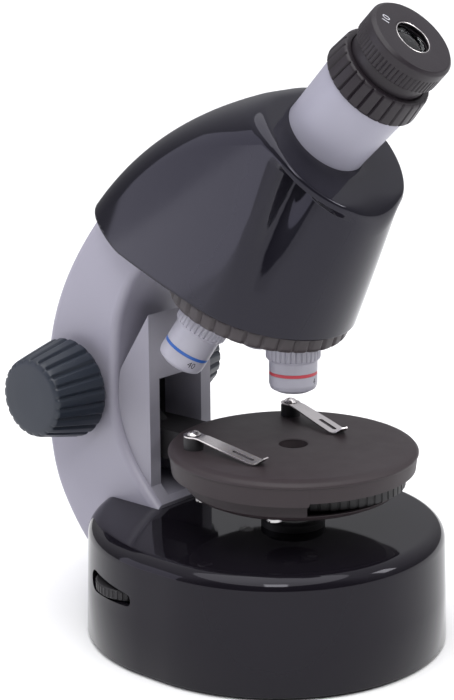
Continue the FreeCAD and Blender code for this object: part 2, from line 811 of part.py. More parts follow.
def make_stage_dish():
    low = dish_low_z
    high = stage_top_z - stage_plate_t
    outer = turned([(0, low), (dish_r - dish_edge - 1.4, low), (dish_r - 1.0, low + dish_edge * 0.55),
                    (dish_r, low + dish_edge), (dish_r, high), (0, high)])
    hollow = rod(dish_r - dish_wall, low + dish_wall, high + 1)
    dish = outer.cut(hollow)
    posts = []
    for x, y in dish_screw_spots():
        posts.append(rod(screw_head_r + 0.1, low + 0.4, high, x, y))
    pivot = rod(4.0, low + 0.4, diaphragm_z - move_gap, diaphragm_x, diaphragm_y)
    inside = turned([(0, low + 0.2), (dish_r - dish_edge - 1.4, low + 0.2), (dish_r - 0.4, low + dish_edge),
                     (dish_r - 0.4, high), (0, high)])
    dish = dish.fuse([p.common(inside) for p in posts] + [pivot]).removeSplitter()
    window = tube(dish_r + 5, dish_r - dish_wall - 1, low + dish_edge + 0.2, high + 1)
    cuts = [window.common(sector(60, window_from, window_to, 0, 100))]
    cuts.append(rod(dish_hole_r, 0, low + dish_wall + 1).cut(rod(4.0, 0, 100, diaphragm_x, diaphragm_y)))
    cuts.append(box(-neck_half_w - seat_gap, neck_half_w + seat_gap, tongue_front_y - 1, stage_r,
                    low + dish_wall + 0.4, high + 1))
    cuts += [rod(screw_r + run_gap, 0, 100, x, y) for x, y in dish_screw_spots()]
    cuts += [rod(screw_head_r + run_gap, 0, low + screw_head_h, x, y) for x, y in dish_screw_spots()]
    cuts.append(rod(pivot_r + run_gap, 0, 100, diaphragm_x, diaphragm_y))
    return dish.cut(cuts)


def make_dish_screws():
    return group([screw(x, y, dish_low_z + screw_head_h, stage_top_z - 1.4)
                  for x, y in dish_screw_spots()])


def make_stage_screws():
    return group([screw(x, y, tongue_low_z, stage_top_z - 1.4) for x, y in stage_screw_spots()])


def make_diaphragm():
    high = diaphragm_z + diaphragm_t
    wheel = rod(diaphragm_r, diaphragm_z, high, diaphragm_x, diaphragm_y)
    hollow = tube(diaphragm_r - 2.2, 6.0, diaphragm_z + 1.4, high + 1, diaphragm_x, diaphragm_y)
    floor_rings = []
    arm_r = math.hypot(diaphragm_x, diaphragm_y)
    phase = math.atan2(-diaphragm_y, -diaphragm_x)
    for i, r in enumerate(aperture_radii):
        a = phase + 2 * math.pi * i / len(aperture_radii)
        x = diaphragm_x + arm_r * math.cos(a)
        y = diaphragm_y + arm_r * math.sin(a)
        floor_rings.append(rod(r, 0, 100, x, y))
    rib = rod(0.55, 0, 100, diaphragm_x + diaphragm_r + 0.15, diaphragm_y)
    wheel = wheel.cut(around(rib, diaphragm_ribs, diaphragm_x, diaphragm_y))
    return wheel.cut([hollow] + floor_rings + [rod(pivot_r + run_gap, 0, 100, diaphragm_x, diaphragm_y)])


def make_diaphragm_pivot():
    return rod(pivot_r, dish_low_z + 0.4, diaphragm_z + diaphragm_t + 0.4, diaphragm_x, diaphragm_y)


def make_clip_posts():
    posts = []
    for x in (-clip_x, clip_x):
        post = rod(clip_post_r, stage_top_z, stage_top_z + clip_post_h, x, clip_y)
        rim = [e for e in post.Edges if e.BoundBox.ZMin > stage_top_z + clip_post_h - 0.01]
        post = post.makeChamfer(0.4, rim)
        posts.append(post.cut(rod(screw_r + run_gap, 0, 100, x, clip_y)))
    return group(posts)


def make_clip_screws():
    screws = []
    low = stage_top_z + clip_post_h + clip_t + 0.15
    for x in (-clip_x, clip_x):
        ball = Part.makeSphere(3.2, V(x, clip_y, low - 1.8))
        head = ball.common(rod(screw_head_r, low, low + 4, x, clip_y))
        slot = box(x - 4, x + 4, clip_y - 0.35, clip_y + 0.35, low + 0.8, low + 4)
        shank = rod(screw_r, stage_top_z - stage_plate_t + 1.2, low, x, clip_y)
        screws.append(head.cut(slot).fuse(shank).removeSplitter())
    return group(screws)


def make_clip(side):
    """Spring steel blade, drawn pointing forward from its screw."""
    z0 = stage_top_z + clip_post_h
    touch = stage_top_z + 0.35
    far = clip_len
    upper = [(5.0, z0 + clip_t), (-clip_post_r, z0 + clip_t), (-clip_post_r, z0), (4.2, z0)]
    bent = [(far - 3.5, touch), (far, touch + clip_tip_rise)]
    back = [(far - 0.5, touch + clip_tip_rise + 0.4), (far - 3.7, touch + clip_t + 0.05)]
    profile = upper + bent + back
    side_view = side_slab(polyline([(-d, z) for d, z in profile + profile[:1]]), 10)
    plan = [(-2.6, 0.0), (-clip_half_w, -far + 12), (-clip_half_w, -far + 5), (-1.3, -far),
            (1.3, -far), (clip_half_w, -far + 5), (clip_half_w, -far + 12), (2.6, 0.0)]
    outline = Part.makePolygon([V(x, y, 0) for x, y in plan + plan[:1]])
    plan_solid = Part.Face(outline).extrude(V(0, 0, 100)).fuse(rod(clip_post_r, 0, 100))
    blade = side_view.common(plan_solid)
    slot = box(-0.8, 0.8, -far + 6.4, -far + 14.4, 0, 100)
    slot = slot.fuse([rod(0.8, 0, 100, 0, -far + 6.4), rod(0.8, 0, 100, 0, -far + 14.4)])
    blade = blade.cut([slot, rod(screw_r + run_gap, 0, 100)])
    if side > 0:
        blade.rotate(V(0, 0, 0), V(0, 0, 1), -clip_right_swing)
    blade.translate(V(side * clip_x, clip_y, 0))
    return blade


# Nosepiece

def on_turret(shape):
    """Take a shape drawn with +Z down the nosepiece axis from the apex into place."""
    shape.Placement = FreeCAD.Placement(V(0, 0, turret_apex_z),
                                        FreeCAD.Rotation(V(1, 0, 0), 180 + turret_tilt)).multiply(shape.Placement)
    return shape


def on_objective(shape, turn):
    """Take a shape drawn along an objective's axis from the apex onto the nosepiece."""
    shape.rotate(V(0, 0, 0), V(1, 0, 0), -turret_tilt)
    shape.rotate(V(0, 0, 0), V(0, 0, 1), turn)
    return on_turret(shape)


def make_turret():
    floor_top = turret_low - turret_floor_t
    wall_r = turret_r - turret_wall
    outline = [(0, floor_top), (wall_r, floor_top), (wall_r, turret_top), (turret_r - 0.4, turret_top),
               (turret_r, turret_top + 0.6), (turret_r, turret_low - 1.2), (turret_r - 1.4, turret_low),
               (0, turret_low)]
    turret = turned(outline)
    bulb = turned([(0, turret_low - 1), (9.5, turret_low - 1), (7.0, turret_low + 2.2), (0, turret_low + 3.0)])
    turret = turret.fuse(bulb)
    groove = rod(turret_groove_r, turret_top - 1, turret_low + 1, turret_r + turret_groove_out)
    cuts = around(groove, turret_lobes)
    for turn in objective_turns.values():
        face = rod(objective_collar_r + 0.5, objective_seat, objective_seat + 12)
        hole = rod(thread_r + run_gap, objective_seat - 14, objective_seat + 1)
        for tool in (face, hole):
            tool.rotate(V(0, 0, 0), V(1, 0, 0), -turret_tilt)
            tool.rotate(V(0, 0, 0), V(0, 0, 1), turn)
            cuts.append(tool)
    cuts.append(rod(pivot_bolt_r + run_gap, turret_top - 10, turret_low + 10))
    notch = Part.makeSphere(1.4, V(0, wall_r - 3.0, floor_top - 0.6))
    notch.rotate(V(0, 0, 0), V(0, 0, 1), detent_turn)
    cuts += around(notch, len(objective_turns))
    return on_turret(turret.cut(cuts).removeSplitter())


def make_objective(name):
    """Barrel with a knurled collar, a groove for the colour ring and a rounded tip."""
    end = objective_ends[name]
    shoulder = end - objective_tip_len
    ring = end - colour_ring_up
    ring_r = objective_r - colour_ring_depth
    lens_r = front_lens_radii[name] + seat_gap
    outline = [(light_r, objective_seat - thread_len), (thread_r, objective_seat - thread_len),
               (thread_r, objective_seat), (objective_collar_r - 0.4, objective_seat),
               (objective_collar_r, objective_seat + 0.6), (objective_collar_r, collar_end - 0.8),
               (objective_r, collar_end), (objective_r, ring), (ring_r, ring),
               (ring_r, ring + colour_ring_w), (objective_r, ring + colour_ring_w),
               (objective_r, shoulder), (objective_r - 0.5, end - objective_tip_len * 0.45),
               (objective_tip_r, end), (lens_r, end), (lens_r, end - 1.6), (light_r - 0.6, end - 4.0)]
    knurl = rod(0.5, objective_seat + 1.2, collar_end - 0.9, objective_collar_r + 0.1)
    body = turned(outline).cut(around(knurl, collar_ribs))
    return on_objective(body, objective_turns[name])


def make_objective_lenses():
    lenses = []
    for name, end in objective_ends.items():
        radius = front_lens_radii[name]
        lens = rod(radius, end - 1.5, end - 0.3)
        lenses.append(on_objective(lens, objective_turns[name]))
    return group(lenses)


def make_turret_pivot():
    floor_top = turret_low - turret_floor_t
    head = rod(4.6, turret_low + 3.2, turret_low + 4.6)
    shank = rod(pivot_bolt_r, turret_top - 6.0, turret_low + 3.2)
    slot = box(-5, 5, -0.5, 0.5, turret_low + 4.0, turret_low + 6)
    washer = rod(5.5, floor_top - 1.2, floor_top - move_gap)
    return on_turret(head.fuse([shank, washer]).cut(slot).removeSplitter())


def make_turret_seat():
    """Fixed plate that closes the head underneath and carries the nosepiece."""
    high = turret_top - move_gap
    low = turret_top - 3.2 + seat_gap
    plate = rod(head_low_r - head_wall - 0.6, low, high)
    boss = rod(8.0, high - 0.1, turret_low - turret_floor_t - 1.2 - seat_gap)
    plate = plate.fuse(boss)
    light = rod(light_r, 0, 100)
    light.rotate(V(0, 0, 0), V(1, 0, 0), -turret_tilt)
    holes = [light, rod(pivot_bolt_r + run_gap, 0, 100)]
    holes += [rod(screw_r + run_gap, 0, 100, x, y) for x, y in seat_screw_spots()]
    return on_turret(plate.cut(holes).removeSplitter())


def seat_screw_spots():
    return [(-15.0, -16.0), (15.0, -16.0)]


def make_seat_screws():
    """Screws from the seat up into the arm's platform, drawn down the nosepiece axis."""
    screws = []
    for x, y in seat_screw_spots():
        head = rod(screw_head_r, turret_top - move_gap, turret_top - move_gap + 1.2, x, y)
        shank = rod(screw_r, turret_top - 8.5, turret_top - move_gap, x, y)
        screws.append(on_turret(head.fuse(shank).removeSplitter()))
    return group(screws)


def make_detent():
    floor_top = turret_low - turret_floor_t
    wall_r = turret_r - turret_wall
    high = turret_top - move_gap
    foot = box(-3, 3, wall_r - 13, wall_r - 8, high, high + 0.5)
    leaf = box(-3, 3, wall_r - 8, wall_r - 1.2, high + 0.6, high + 1.1)
    link = box(-3, 3, wall_r - 8.6, wall_r - 8, high, high + 1.1)
    ball = Part.makeSphere(1.2, V(0, wall_r - 3.0, floor_top - move_gap - 1.2))
    spring = foot.fuse([leaf, link, ball]).removeSplitter()
    spring.rotate(V(0, 0, 0), V(0, 0, 1), detent_turn)
    return on_turret(spring)


# Head

def plane_wire(radius, tail_w, origin, angle, inset):
    """Rounded outline in a sloping plane: half circle in front, sides closing in to a tail."""
    a = math.radians(angle)
    along = V(0, math.cos(a), math.sin(a))
    start = V(0, origin[0], origin[1])
    r = radius - inset
    w = tail_w - inset
    narrowing = r - w
    big_r = (narrowing ** 2 + head_tail_len ** 2) / (2 * narrowing)
    half = head_tail_len / 2
    mid_x = r - (big_r - math.sqrt(big_r ** 2 - half ** 2))
    def at(x, v):
        return start + V(x, 0, 0) + along * v
    front = Part.Arc(at(-r, 0), at(0, -r), at(r, 0)).toShape()
    right = Part.Arc(at(r, 0), at(mid_x, half), at(w, head_tail_len)).toShape()
    back = Part.LineSegment(at(w, head_tail_len), at(-w, head_tail_len)).toShape()
    left = Part.Arc(at(-w, head_tail_len), at(-mid_x, half), at(-r, 0)).toShape()
    return Part.Wire([front, right, back, left])


def head_tower(inset):
    low_point = nose_point(head_low_y, turret_top + head_low_lift)
    a = math.radians(tube_angle)
    top_point = (head_face_y - head_top_lift * math.sin(a), head_face_z + head_top_lift * math.cos(a))
    low = plane_wire(head_low_r, head_tail_low_w, low_point, turret_tilt, inset)
    top = plane_wire(head_top_r, head_tail_top_w, top_point, tube_angle, inset)
    return Part.makeLoft([low, top], True, True)


def crown_circle():
    """Centre and radius of the head's back, from the face's top edge, crown and tail."""
    a = math.radians(tube_angle)
    face_top = (head_face_y + head_face_up * math.cos(a), head_face_z + head_face_up * math.sin(a))
    ends = [V(0, *p) for p in (face_top, head_crown, head_tail)]
    circle = Part.Circle(*ends)
    return circle.Center.y, circle.Center.z, circle.Radius


def head_profile(inset, low_depth):
    """Side outline of the head: nosepiece plane, sloping face, crowned back and rear rim."""
    a = math.radians(tube_angle)
    up_y, up_z = math.cos(a), math.sin(a)
    face_y = head_face_y + inset * up_z
    face_z = head_face_z - inset * up_y
    centre_y, centre_z, radius = crown_circle()
    radius -= inset
    from_y, from_z = face_y - centre_y, face_z - centre_z
    b = from_y * up_y + from_z * up_z
    reach = math.sqrt(b * b - from_y ** 2 - from_z ** 2 + radius ** 2) - b
    face_top = (face_y + reach * up_y, face_z + reach * up_z)
    face_low = (face_y - 60 * up_y, face_z - 60 * up_z)
    def crown(y):
        return (y, centre_z + math.sqrt(radius ** 2 - (y - centre_y) ** 2))
    rim_low = nose_point(head_rim_y, low_depth)
    front = nose_point(-75.0, low_depth)
    if inset > 0:
        end = crown(head_tail[0] + 17)
        edges = [arc(face_top, crown(head_crown[0]), end)]
        edges += polyline([end, (end[0], rim_low[1]), rim_low])
    else:
        edges = [arc(face_top, crown(head_crown[0]), head_tail), arc(head_tail, head_rim_middle, rim_low)]
    return edges + polyline([rim_low, front, face_low, face_top])


def edge_middle(edge):
    return edge.valueAt((edge.FirstParameter + edge.LastParameter) / 2)


def head_form(inset, low_depth):
    """Head with hollow flanks and a crown rounded down both sides, at a given inset."""
    tower = head_tower(inset).cut(scoops(inset))
    form = tower.common(side_slab(head_profile(inset, low_depth), 2 * head_low_r))
    ridges = []
    for edge in form.Edges:
        middle = edge_middle(edge)
        if edge.Length > 80 and middle.z > 170 and abs(middle.x) > 15:
            ridges.append(edge)
    return form.makeFillet(head_ridge_r - inset, ridges)


def scoops(inset):
    """Hollows pressed into both flanks of the head, grown by an inset."""
    tilt = math.radians(turret_tilt)
    outward = V(math.cos(tilt), -math.sin(tilt), 0)
    high = V(*scoop_high) + outward * (scoop_r - scoop_high_depth)
    low = V(*scoop_low) + outward * (scoop_r - scoop_low_depth)
    along = high - low
    right = Part.makeCylinder(scoop_r + inset, 2 * along.Length, low - along * 0.5, along)
    under_face = side_slab(head_profile(scoop_ledge - inset, turret_top + head_wall), 2 * head_low_r)
    right = right.common(under_face)
    left = right.mirror(V(0, 0, 0), V(1, 0, 0))
    return [left, right]


def above_face(point):
    a = math.radians(tube_angle)
    return (point.z - head_face_z) * math.cos(a) - (point.y - head_face_y) * math.sin(a)


def make_head_casing():
    casing = head_form(0, turret_top - 0.2)
    rim = [e for e in casing.Edges
           if all(abs(above_face(p)) < 0.01 for p in [edge_middle(e)] + [v.Point for v in e.Vertexes])]
    casing = casing.makeFillet(head_face_edge_r, rim)
    casing = casing.cut(head_form(head_wall, turret_top + 3))
    return casing.cut(on_tube(rod(tube_low_r + seat_gap, -30, 30)))


def on_tube(shape):
    """Take a shape drawn along +Z from the tube's foot onto the eyepiece axis."""
    shape.Placement = FreeCAD.Placement(V(0, tube_foot_y, tube_foot_z),
                                        FreeCAD.Rotation(V(1, 0, 0), tube_angle)).multiply(shape.Placement)
    return shape


def make_eyepiece_tube():
    bore = barrel_r + run_gap
    outline = [(bore, -tube_sink), (tube_low_r, -tube_sink), (tube_low_r, 0), (tube_high_r, tube_len - 0.6),
               (tube_high_r - 0.6, tube_len), (bore, tube_len)]
    return on_tube(turned(outline))


def make_eyepiece_body():
    """Barrel in the tube, with the turned body that carries the grip ring and eyecup."""
    low = tube_len + move_gap
    groove = low + grip_len
    cup = groove + groove_len
    inner = barrel_r - barrel_wall
    outline = [(inner, -tube_sink - 3), (barrel_r, -tube_sink - 3), (barrel_r, low), (groove_r, low),
               (groove_r, cup + eyecup_len - 2.4), (eye_lens_r + seat_gap, cup + eyecup_len - 2.4),
               (eye_lens_r + seat_gap, cup - 0.5), (inner, groove)]
    return on_tube(turned(outline))


def make_grip_ring():
    low = tube_len + move_gap
    high = low + grip_len
    ring = turned([(groove_r + seat_gap, low), (grip_low_r - 0.5, low), (grip_low_r, low + 0.6),
                   (grip_high_r, high - 0.5), (grip_high_r - 0.5, high), (groove_r + seat_gap, high)])
    lean = math.atan2(grip_low_r - grip_high_r, grip_len)
    groove = box(-0.45, 0.45, -1.0, 1.0, -2, grip_len + 4)
    groove.rotate(V(0, 0, 0), V(0, 0, 1), 90)
    groove.rotate(V(0, 0, 0), V(0, 1, 0), -math.degrees(lean))
    groove.translate(V(grip_low_r + 0.35, 0, low))
    return on_tube(ring.cut(around(groove, grip_ribs)))


def make_eyecup():
    low = tube_len + move_gap + grip_len + groove_len
    high = low + eyecup_len
    cup = turned([(groove_r + seat_gap, low), (eyecup_r - 0.5, low), (eyecup_r, low + 0.5),
                  (eyecup_r, high - 0.9), (eyecup_r - 0.9, high), (eye_lens_r + 1.4, high),
                  (eye_lens_r + 0.5, high - 1.0), (eye_lens_r + 0.5, high - 2.2),
                  (groove_r + seat_gap, high - 2.2)])
    rib = rod(0.35, low + 0.8, low + eyecup_len * 0.55, eyecup_r + 0.1)
    return on_tube(cup.cut(around(rib, 60)))


def make_eye_lens():
    cup = tube_len + move_gap + grip_len + groove_len
    lens = rod(eye_lens_r, cup, cup + eyecup_len - 3.2)
    dome = Part.makeSphere(22.0, V(0, 0, cup + eyecup_len - 1.6 - 22.0))
    return on_tube(lens.fuse(dome.common(rod(eye_lens_r, cup, cup + 20))).removeSplitter())


def make_field_lens():
    return on_tube(rod(barrel_r - barrel_wall - seat_gap, -tube_sink - 1.5, -tube_sink + 1.5))


def make_prism():
    """Block that turns the vertical light path onto the eyepiece axis."""
    z = tube_foot_z + tube_foot_y
    half = 8.0
    points = [(-half, z - 9), (half, z - 9), (half + 2.5, z + 4.0), (-2.0, z + 8.5), (-half - 3, z + 1.0)]
    return side_slab(polyline(points + points[:1]), half)


def make_prism_holder():
    z = tube_foot_z + tube_foot_y
    seat = turret_top - 3.2 - arm_platform_t
    front = nose_point(-10.0, seat)
    back = nose_point(13.0, seat)
    points = [front, back, (13.0, z + 4.0), (11.0, z + 4.0), (10.0, z - 9.2), (-10.0, z - 9.2)]
    block = side_slab(polyline(points + points[:1]), 11.0)
    pocket = side_slab(polyline([(-20, z - 9.2), (11.2, z - 9.2), (11.2, z + 20), (-20, z + 20), (-20, z - 9.2)]),
                       8.0 + seat_gap)
    return block.cut([pocket, rod(light_r, 0, 300)])


nodes = {
    "base_shell": make_base_shell(),
    "base_plate": make_base_plate(),
    "base_feet": make_feet(),
    "base_screws": make_base_screws(),
    "battery_cover": make_battery_cover(),
    "battery_cover_screw": make_battery_screw(),
    "battery_tray": make_battery_tray(),
    "batteries": make_batteries(),
    "battery_contacts": make_battery_contacts(),
    "lamp_board": make_lamp_board(),
    "lamp_led": make_lamp_led(),
    "lamp_collar": make_lamp_collar(),
    "lamp_lens": make_lamp_lens(),
    "dimmer_wheel": make_dimmer_wheel(),
    "dimmer": make_dimmer(),
    "dimmer_bracket": make_dimmer_bracket(),
    "power_inlet": make_power_inlet(),
    "arm": make_arm(),
    "arm_screws": make_arm_screws(),
    "column": make_column(),
    "guide_rods": make_guide_rods(),
    "focus_shaft": make_focus_shaft(),
    "focus_bushes": make_bushes(),
    "focus_pinion": make_pinion(),
    "focus_knob_left": make_knob(-1),
    "focus_knob_right": make_knob(1),
    "stage_carrier": make_carrier(),
    "stage_rack": make_rack(),
    "stage_plate": make_stage_plate(),
    "stage_dish": make_stage_dish(),
    "stage_screws": make_stage_screws(),
    "dish_screws": make_dish_screws(),
    "diaphragm_wheel": make_diaphragm(),
    "diaphragm_pivot": make_diaphragm_pivot(),
    "clip_posts": make_clip_posts(),
    "clip_screws": make_clip_screws(),
    "clip_left": make_clip(-1),
    "clip_right": make_clip(1),
    "turret": make_turret(),
    "turret_seat": make_turret_seat(),
    "turret_pivot": make_turret_pivot(),
    "turret_detent": make_detent(),
    "seat_screws": make_seat_screws(),
    "objective_4x": make_objective("4x"),
    "objective_10x": make_objective("10x"),
    "objective_40x": make_objective("40x"),
    "objective_lenses": make_objective_lenses(),
    "head_casing": make_head_casing(),
    "prism": make_prism(),
    "prism_holder": make_prism_holder(),
    "eyepiece_tube": make_eyepiece_tube(),
    "eyepiece_body": make_eyepiece_body(),
    "grip_ring": make_grip_ring(),
    "eyecup": make_eyecup(),
    "eye_lens": make_eye_lens(),
    "field_lens": make_field_lens(),
}

# The origin is under the middle of the instrument, front to back
whole = group(list(nodes.values())).optimalBoundingBox()
to_origin = V(-(whole.XMin + whole.XMax) / 2, -(whole.YMin + whole.YMax) / 2, 0)
print("optical axis at y =", round(to_origin.y, 4))
for name, shape in nodes.items():
    shape.translate(to_origin)
    shape.exportStep("parts/" + name + ".step")
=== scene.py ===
import bmesh
import bpy
import json
import math
from mathutils import Matrix, Vector


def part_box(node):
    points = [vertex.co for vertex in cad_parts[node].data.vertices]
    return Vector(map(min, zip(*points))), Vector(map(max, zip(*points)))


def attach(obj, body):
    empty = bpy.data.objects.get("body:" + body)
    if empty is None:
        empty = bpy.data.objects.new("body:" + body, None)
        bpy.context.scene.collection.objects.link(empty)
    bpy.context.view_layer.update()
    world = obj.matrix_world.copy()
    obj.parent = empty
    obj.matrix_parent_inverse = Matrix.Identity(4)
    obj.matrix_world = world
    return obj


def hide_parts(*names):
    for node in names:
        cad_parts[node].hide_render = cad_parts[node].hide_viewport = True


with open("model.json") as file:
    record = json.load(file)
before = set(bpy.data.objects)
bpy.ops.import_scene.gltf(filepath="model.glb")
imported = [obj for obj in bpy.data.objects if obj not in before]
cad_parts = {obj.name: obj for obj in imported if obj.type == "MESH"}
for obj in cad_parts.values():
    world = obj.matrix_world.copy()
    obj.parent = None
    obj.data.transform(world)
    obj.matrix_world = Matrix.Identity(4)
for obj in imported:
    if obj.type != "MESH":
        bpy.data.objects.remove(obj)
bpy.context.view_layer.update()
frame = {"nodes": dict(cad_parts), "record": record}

# Sizes are in millimetres about the optical axis (x = 0, y = 0) with z = 0 on the bench.
# at() turns them into the frame's metres.
MM = 0.001
stage_low, stage_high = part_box("stage_plate")
AXIS_Y = (stage_low.y + stage_high.y) / 2


def at(x, y, z):
    return Vector((x * MM, y * MM + AXIS_Y, z * MM))


# Nosepiece, as in the solids. Depths run from the apex down its tilted axis.
TURRET_TILT = math.radians(18.5)
APEX_Z = 169.6
TURRET_TOP = 44.4
TURRET_LOW = 50.9
TURRET_R = 33.0

# Head: (y, z) points on its middle plane, radii and half widths
FACE_ANGLE = math.radians(45.0)
FACE = (-17.9, 183.5)
FACE_UP = 26.0
HEAD_LOW = (14.1, 45.9)
HEAD_LOW_R = 34.2
HEAD_TOP_R = 28.2
HEAD_LIFT = 4.0
HEAD_RIM_DEPTH = TURRET_TOP - 0.2
TAIL_LEN = 84.0
TAIL_LOW_W = 21.5
TAIL_TOP_W = 17.0
CROWN = (43.0, 184.2)
TAIL = (75.0, 157.8)
RIM_MIDDLE = (61.6, 144.8)
RIM_Y = 45.5
HEAD_WALL = 2.0

# Eyepiece tube
TUBE_FOOT = (-16.6, 188.5)
TUBE_LEN = 22.6
TUBE_LOW_R = 15.5
TUBE_HIGH_R = 16.3

TURRET_PLACE = Matrix.Translation((0, 0, APEX_Z)) @ Matrix.Rotation(math.pi + TURRET_TILT, 4, "X")
TUBE_PLACE = Matrix.Translation((0, TUBE_FOOT[0], TUBE_FOOT[1])) @ Matrix.Rotation(FACE_ANGLE, 4, "X")


# Materials

# Most values of a noise lie in this span. Grains are noise scales, per metre.
NOISE_SPAN = (0.3, 0.7)
BROAD_GRAIN = 45.0
GLOSS_GRAIN = 130.0
SMEAR_GRAIN = 70.0
SMEAR = 0.03
BUMP_DEPTH = 0.0003
GLASS_IOR = 1.5


def principled(name):
    material = bpy.data.materials.new(name)
    material.use_nodes = True
    return material, material.node_tree, material.node_tree.nodes["Principled BSDF"]


def add_noise(tree, scale, detail=4.0, stretch=(1, 1, 1)):
    """Noise in object space, so the grain keeps its real size and stays on the piece."""
    coords = tree.nodes.new("ShaderNodeTexCoord")
    mapping = tree.nodes.new("ShaderNodeMapping")
    mapping.inputs["Scale"].default_value = stretch
    noise = tree.nodes.new("ShaderNodeTexNoise")
    noise.inputs["Scale"].default_value = scale
    noise.inputs["Detail"].default_value = detail
    tree.links.new(coords.outputs["Object"], mapping.inputs["Vector"])
    tree.links.new(mapping.outputs["Vector"], noise.inputs["Vector"])
    return noise


def add_range(tree, source, low, high):
    """Spread a noise between two values."""
    spread = tree.nodes.new("ShaderNodeMapRange")
    spread.inputs["From Min"].default_value, spread.inputs["From Max"].default_value = NOISE_SPAN
    spread.inputs["To Min"].default_value = low
    spread.inputs["To Max"].default_value = high
    tree.links.new(source.outputs["Fac"], spread.inputs["Value"])
    return spread


def add_bump(tree, shader, source, strength):
    bump = tree.nodes.new("ShaderNodeBump")
    bump.inputs["Strength"].default_value = strength
    bump.inputs["Distance"].default_value = BUMP_DEPTH
    tree.links.new(source.outputs["Fac"], bump.inputs["Height"])
    tree.links.new(bump.outputs["Normal"], shader.inputs["Normal"])


def surface(name, color, rough, metallic=0.0, spread=0.06, tint=0.12, grain=900.0, bump=0.05,
            stretch=(1, 1, 1), specular=0.5, gloss_tint=(1, 1, 1)):
    """A finish with fine grain, a little uneven gloss and faint colour variation."""
    material, tree, shader = principled(name)
    shader.inputs["Metallic"].default_value = metallic
    shader.inputs["Specular IOR Level"].default_value = specular
    shader.inputs["Specular Tint"].default_value = (*gloss_tint, 1)
    broad = add_noise(tree, BROAD_GRAIN)
    mix = tree.nodes.new("ShaderNodeMix")
    mix.data_type = "RGBA"
    mix.inputs["A"].default_value = (*[c * (1 - tint) for c in color], 1)
    mix.inputs["B"].default_value = (*[min(1.0, c * (1 + tint)) for c in color], 1)
    tree.links.new(broad.outputs["Fac"], mix.inputs["Factor"])
    tree.links.new(mix.outputs["Result"], shader.inputs["Base Color"])
    uneven = add_noise(tree, GLOSS_GRAIN, detail=6.0)
    gloss = add_range(tree, uneven, rough - spread / 2, rough + spread / 2)
    tree.links.new(gloss.outputs["Result"], shader.inputs["Roughness"])
    if bump:
        add_bump(tree, shader, add_noise(tree, grain, detail=3.0, stretch=stretch), bump)
    return material


def clear(name, color, rough):
    """Glass with a faint smear."""
    material, tree, shader = principled(name)
    shader.inputs["Base Color"].default_value = (*color, 1)
    shader.inputs["Transmission Weight"].default_value = 1.0
    shader.inputs["IOR"].default_value = GLASS_IOR
    smear = add_range(tree, add_noise(tree, SMEAR_GRAIN), rough, rough + SMEAR)
    tree.links.new(smear.outputs["Result"], shader.inputs["Roughness"])
    return material


# Name, colour, roughness, and what departs from a plain moulding
GLOSS_BASE = surface("gloss_base", (0.0065, 0.0055, 0.0080), 0.06, spread=0.02, grain=260.0, bump=0.004,
                     specular=0.24, gloss_tint=(0.92, 0.90, 1.0))
GLOSS_HEAD = surface("gloss_head", (0.0090, 0.0085, 0.0125), 0.07, spread=0.02, grain=260.0, bump=0.004,
                     specular=0.33, gloss_tint=(0.88, 0.86, 1.0))
ARM_GREY = surface("arm_grey", (0.320, 0.308, 0.372), 0.42, tint=0.03, grain=1500.0, bump=0.03)
COLUMN_GREY = surface("column_grey", (0.295, 0.285, 0.335), 0.45, tint=0.03, grain=1500.0, bump=0.03)
TUBE_GREY = surface("tube_grey", (0.330, 0.322, 0.390), 0.38, tint=0.02, grain=1600.0, bump=0.02)
OBJECTIVE_GREY = surface("objective_grey", (0.360, 0.352, 0.410), 0.36, tint=0.02, grain=1600.0,
                         bump=0.02)
STAGE_BLACK = surface("stage_black", (0.032, 0.024, 0.027), 0.50, tint=0.10, grain=2400.0, bump=0.10,
                      specular=0.3)
KNOB_DARK = surface("knob_dark", (0.018, 0.023, 0.034), 0.40, tint=0.10, grain=1800.0, bump=0.08,
                    specular=0.4)
NOSE_DARK = surface("nose_dark", (0.046, 0.038, 0.042), 0.45, tint=0.10, grain=1800.0, bump=0.08,
                    specular=0.4)
EYEPIECE_DARK = surface("eyepiece_dark", (0.017, 0.013, 0.017), 0.42, tint=0.10, grain=1800.0, bump=0.08,
                        specular=0.35)
MOULDED = surface("moulded_black", (0.018, 0.017, 0.019), 0.5, tint=0.12, grain=1400.0, bump=0.12,
                   specular=0.35)
RUBBER = surface("rubber", (0.022, 0.022, 0.022), 0.75, tint=0.15, grain=1200.0, bump=0.2)
STEEL = surface("brushed_steel", (0.56, 0.55, 0.55), 0.30, metallic=1.0, grain=500.0, bump=0.06,
                stretch=(1, 1, 14), tint=0.05)
CLIP_STEEL = surface("clip_steel", (0.62, 0.59, 0.59), 0.24, metallic=1.0, grain=500.0, bump=0.05,
                     stretch=(14, 1, 1), tint=0.05)
ROD_STEEL = surface("rod_steel", (0.68, 0.68, 0.68), 0.14, metallic=1.0, grain=300.0, bump=0.02, tint=0.04)
BRASS = surface("brass", (0.68, 0.50, 0.22), 0.28, metallic=1.0, grain=600.0, bump=0.05, tint=0.08)
CELL = surface("cell_wrap", (0.05, 0.10, 0.24), 0.30, grain=300.0, bump=0.02, tint=0.05)
BOARD = surface("board", (0.02, 0.13, 0.05), 0.40, grain=900.0, bump=0.10)
POT = surface("pot_body", (0.03, 0.05, 0.11), 0.40, grain=900.0, bump=0.05)
LED = surface("led", (0.86, 0.86, 0.80), 0.15, grain=300.0, bump=0.01, tint=0.03)
FROST = surface("lamp_frost", (0.80, 0.80, 0.78), 0.55, grain=2200.0, bump=0.15, tint=0.04)
GLASS = clear("glass", (0.92, 0.95, 0.97), 0.01)
RED = surface("ring_red", (0.48, 0.03, 0.05), 0.40, grain=900.0, bump=0.02)
BLUE = surface("ring_blue", (0.02, 0.10, 0.38), 0.40, grain=900.0, bump=0.02)
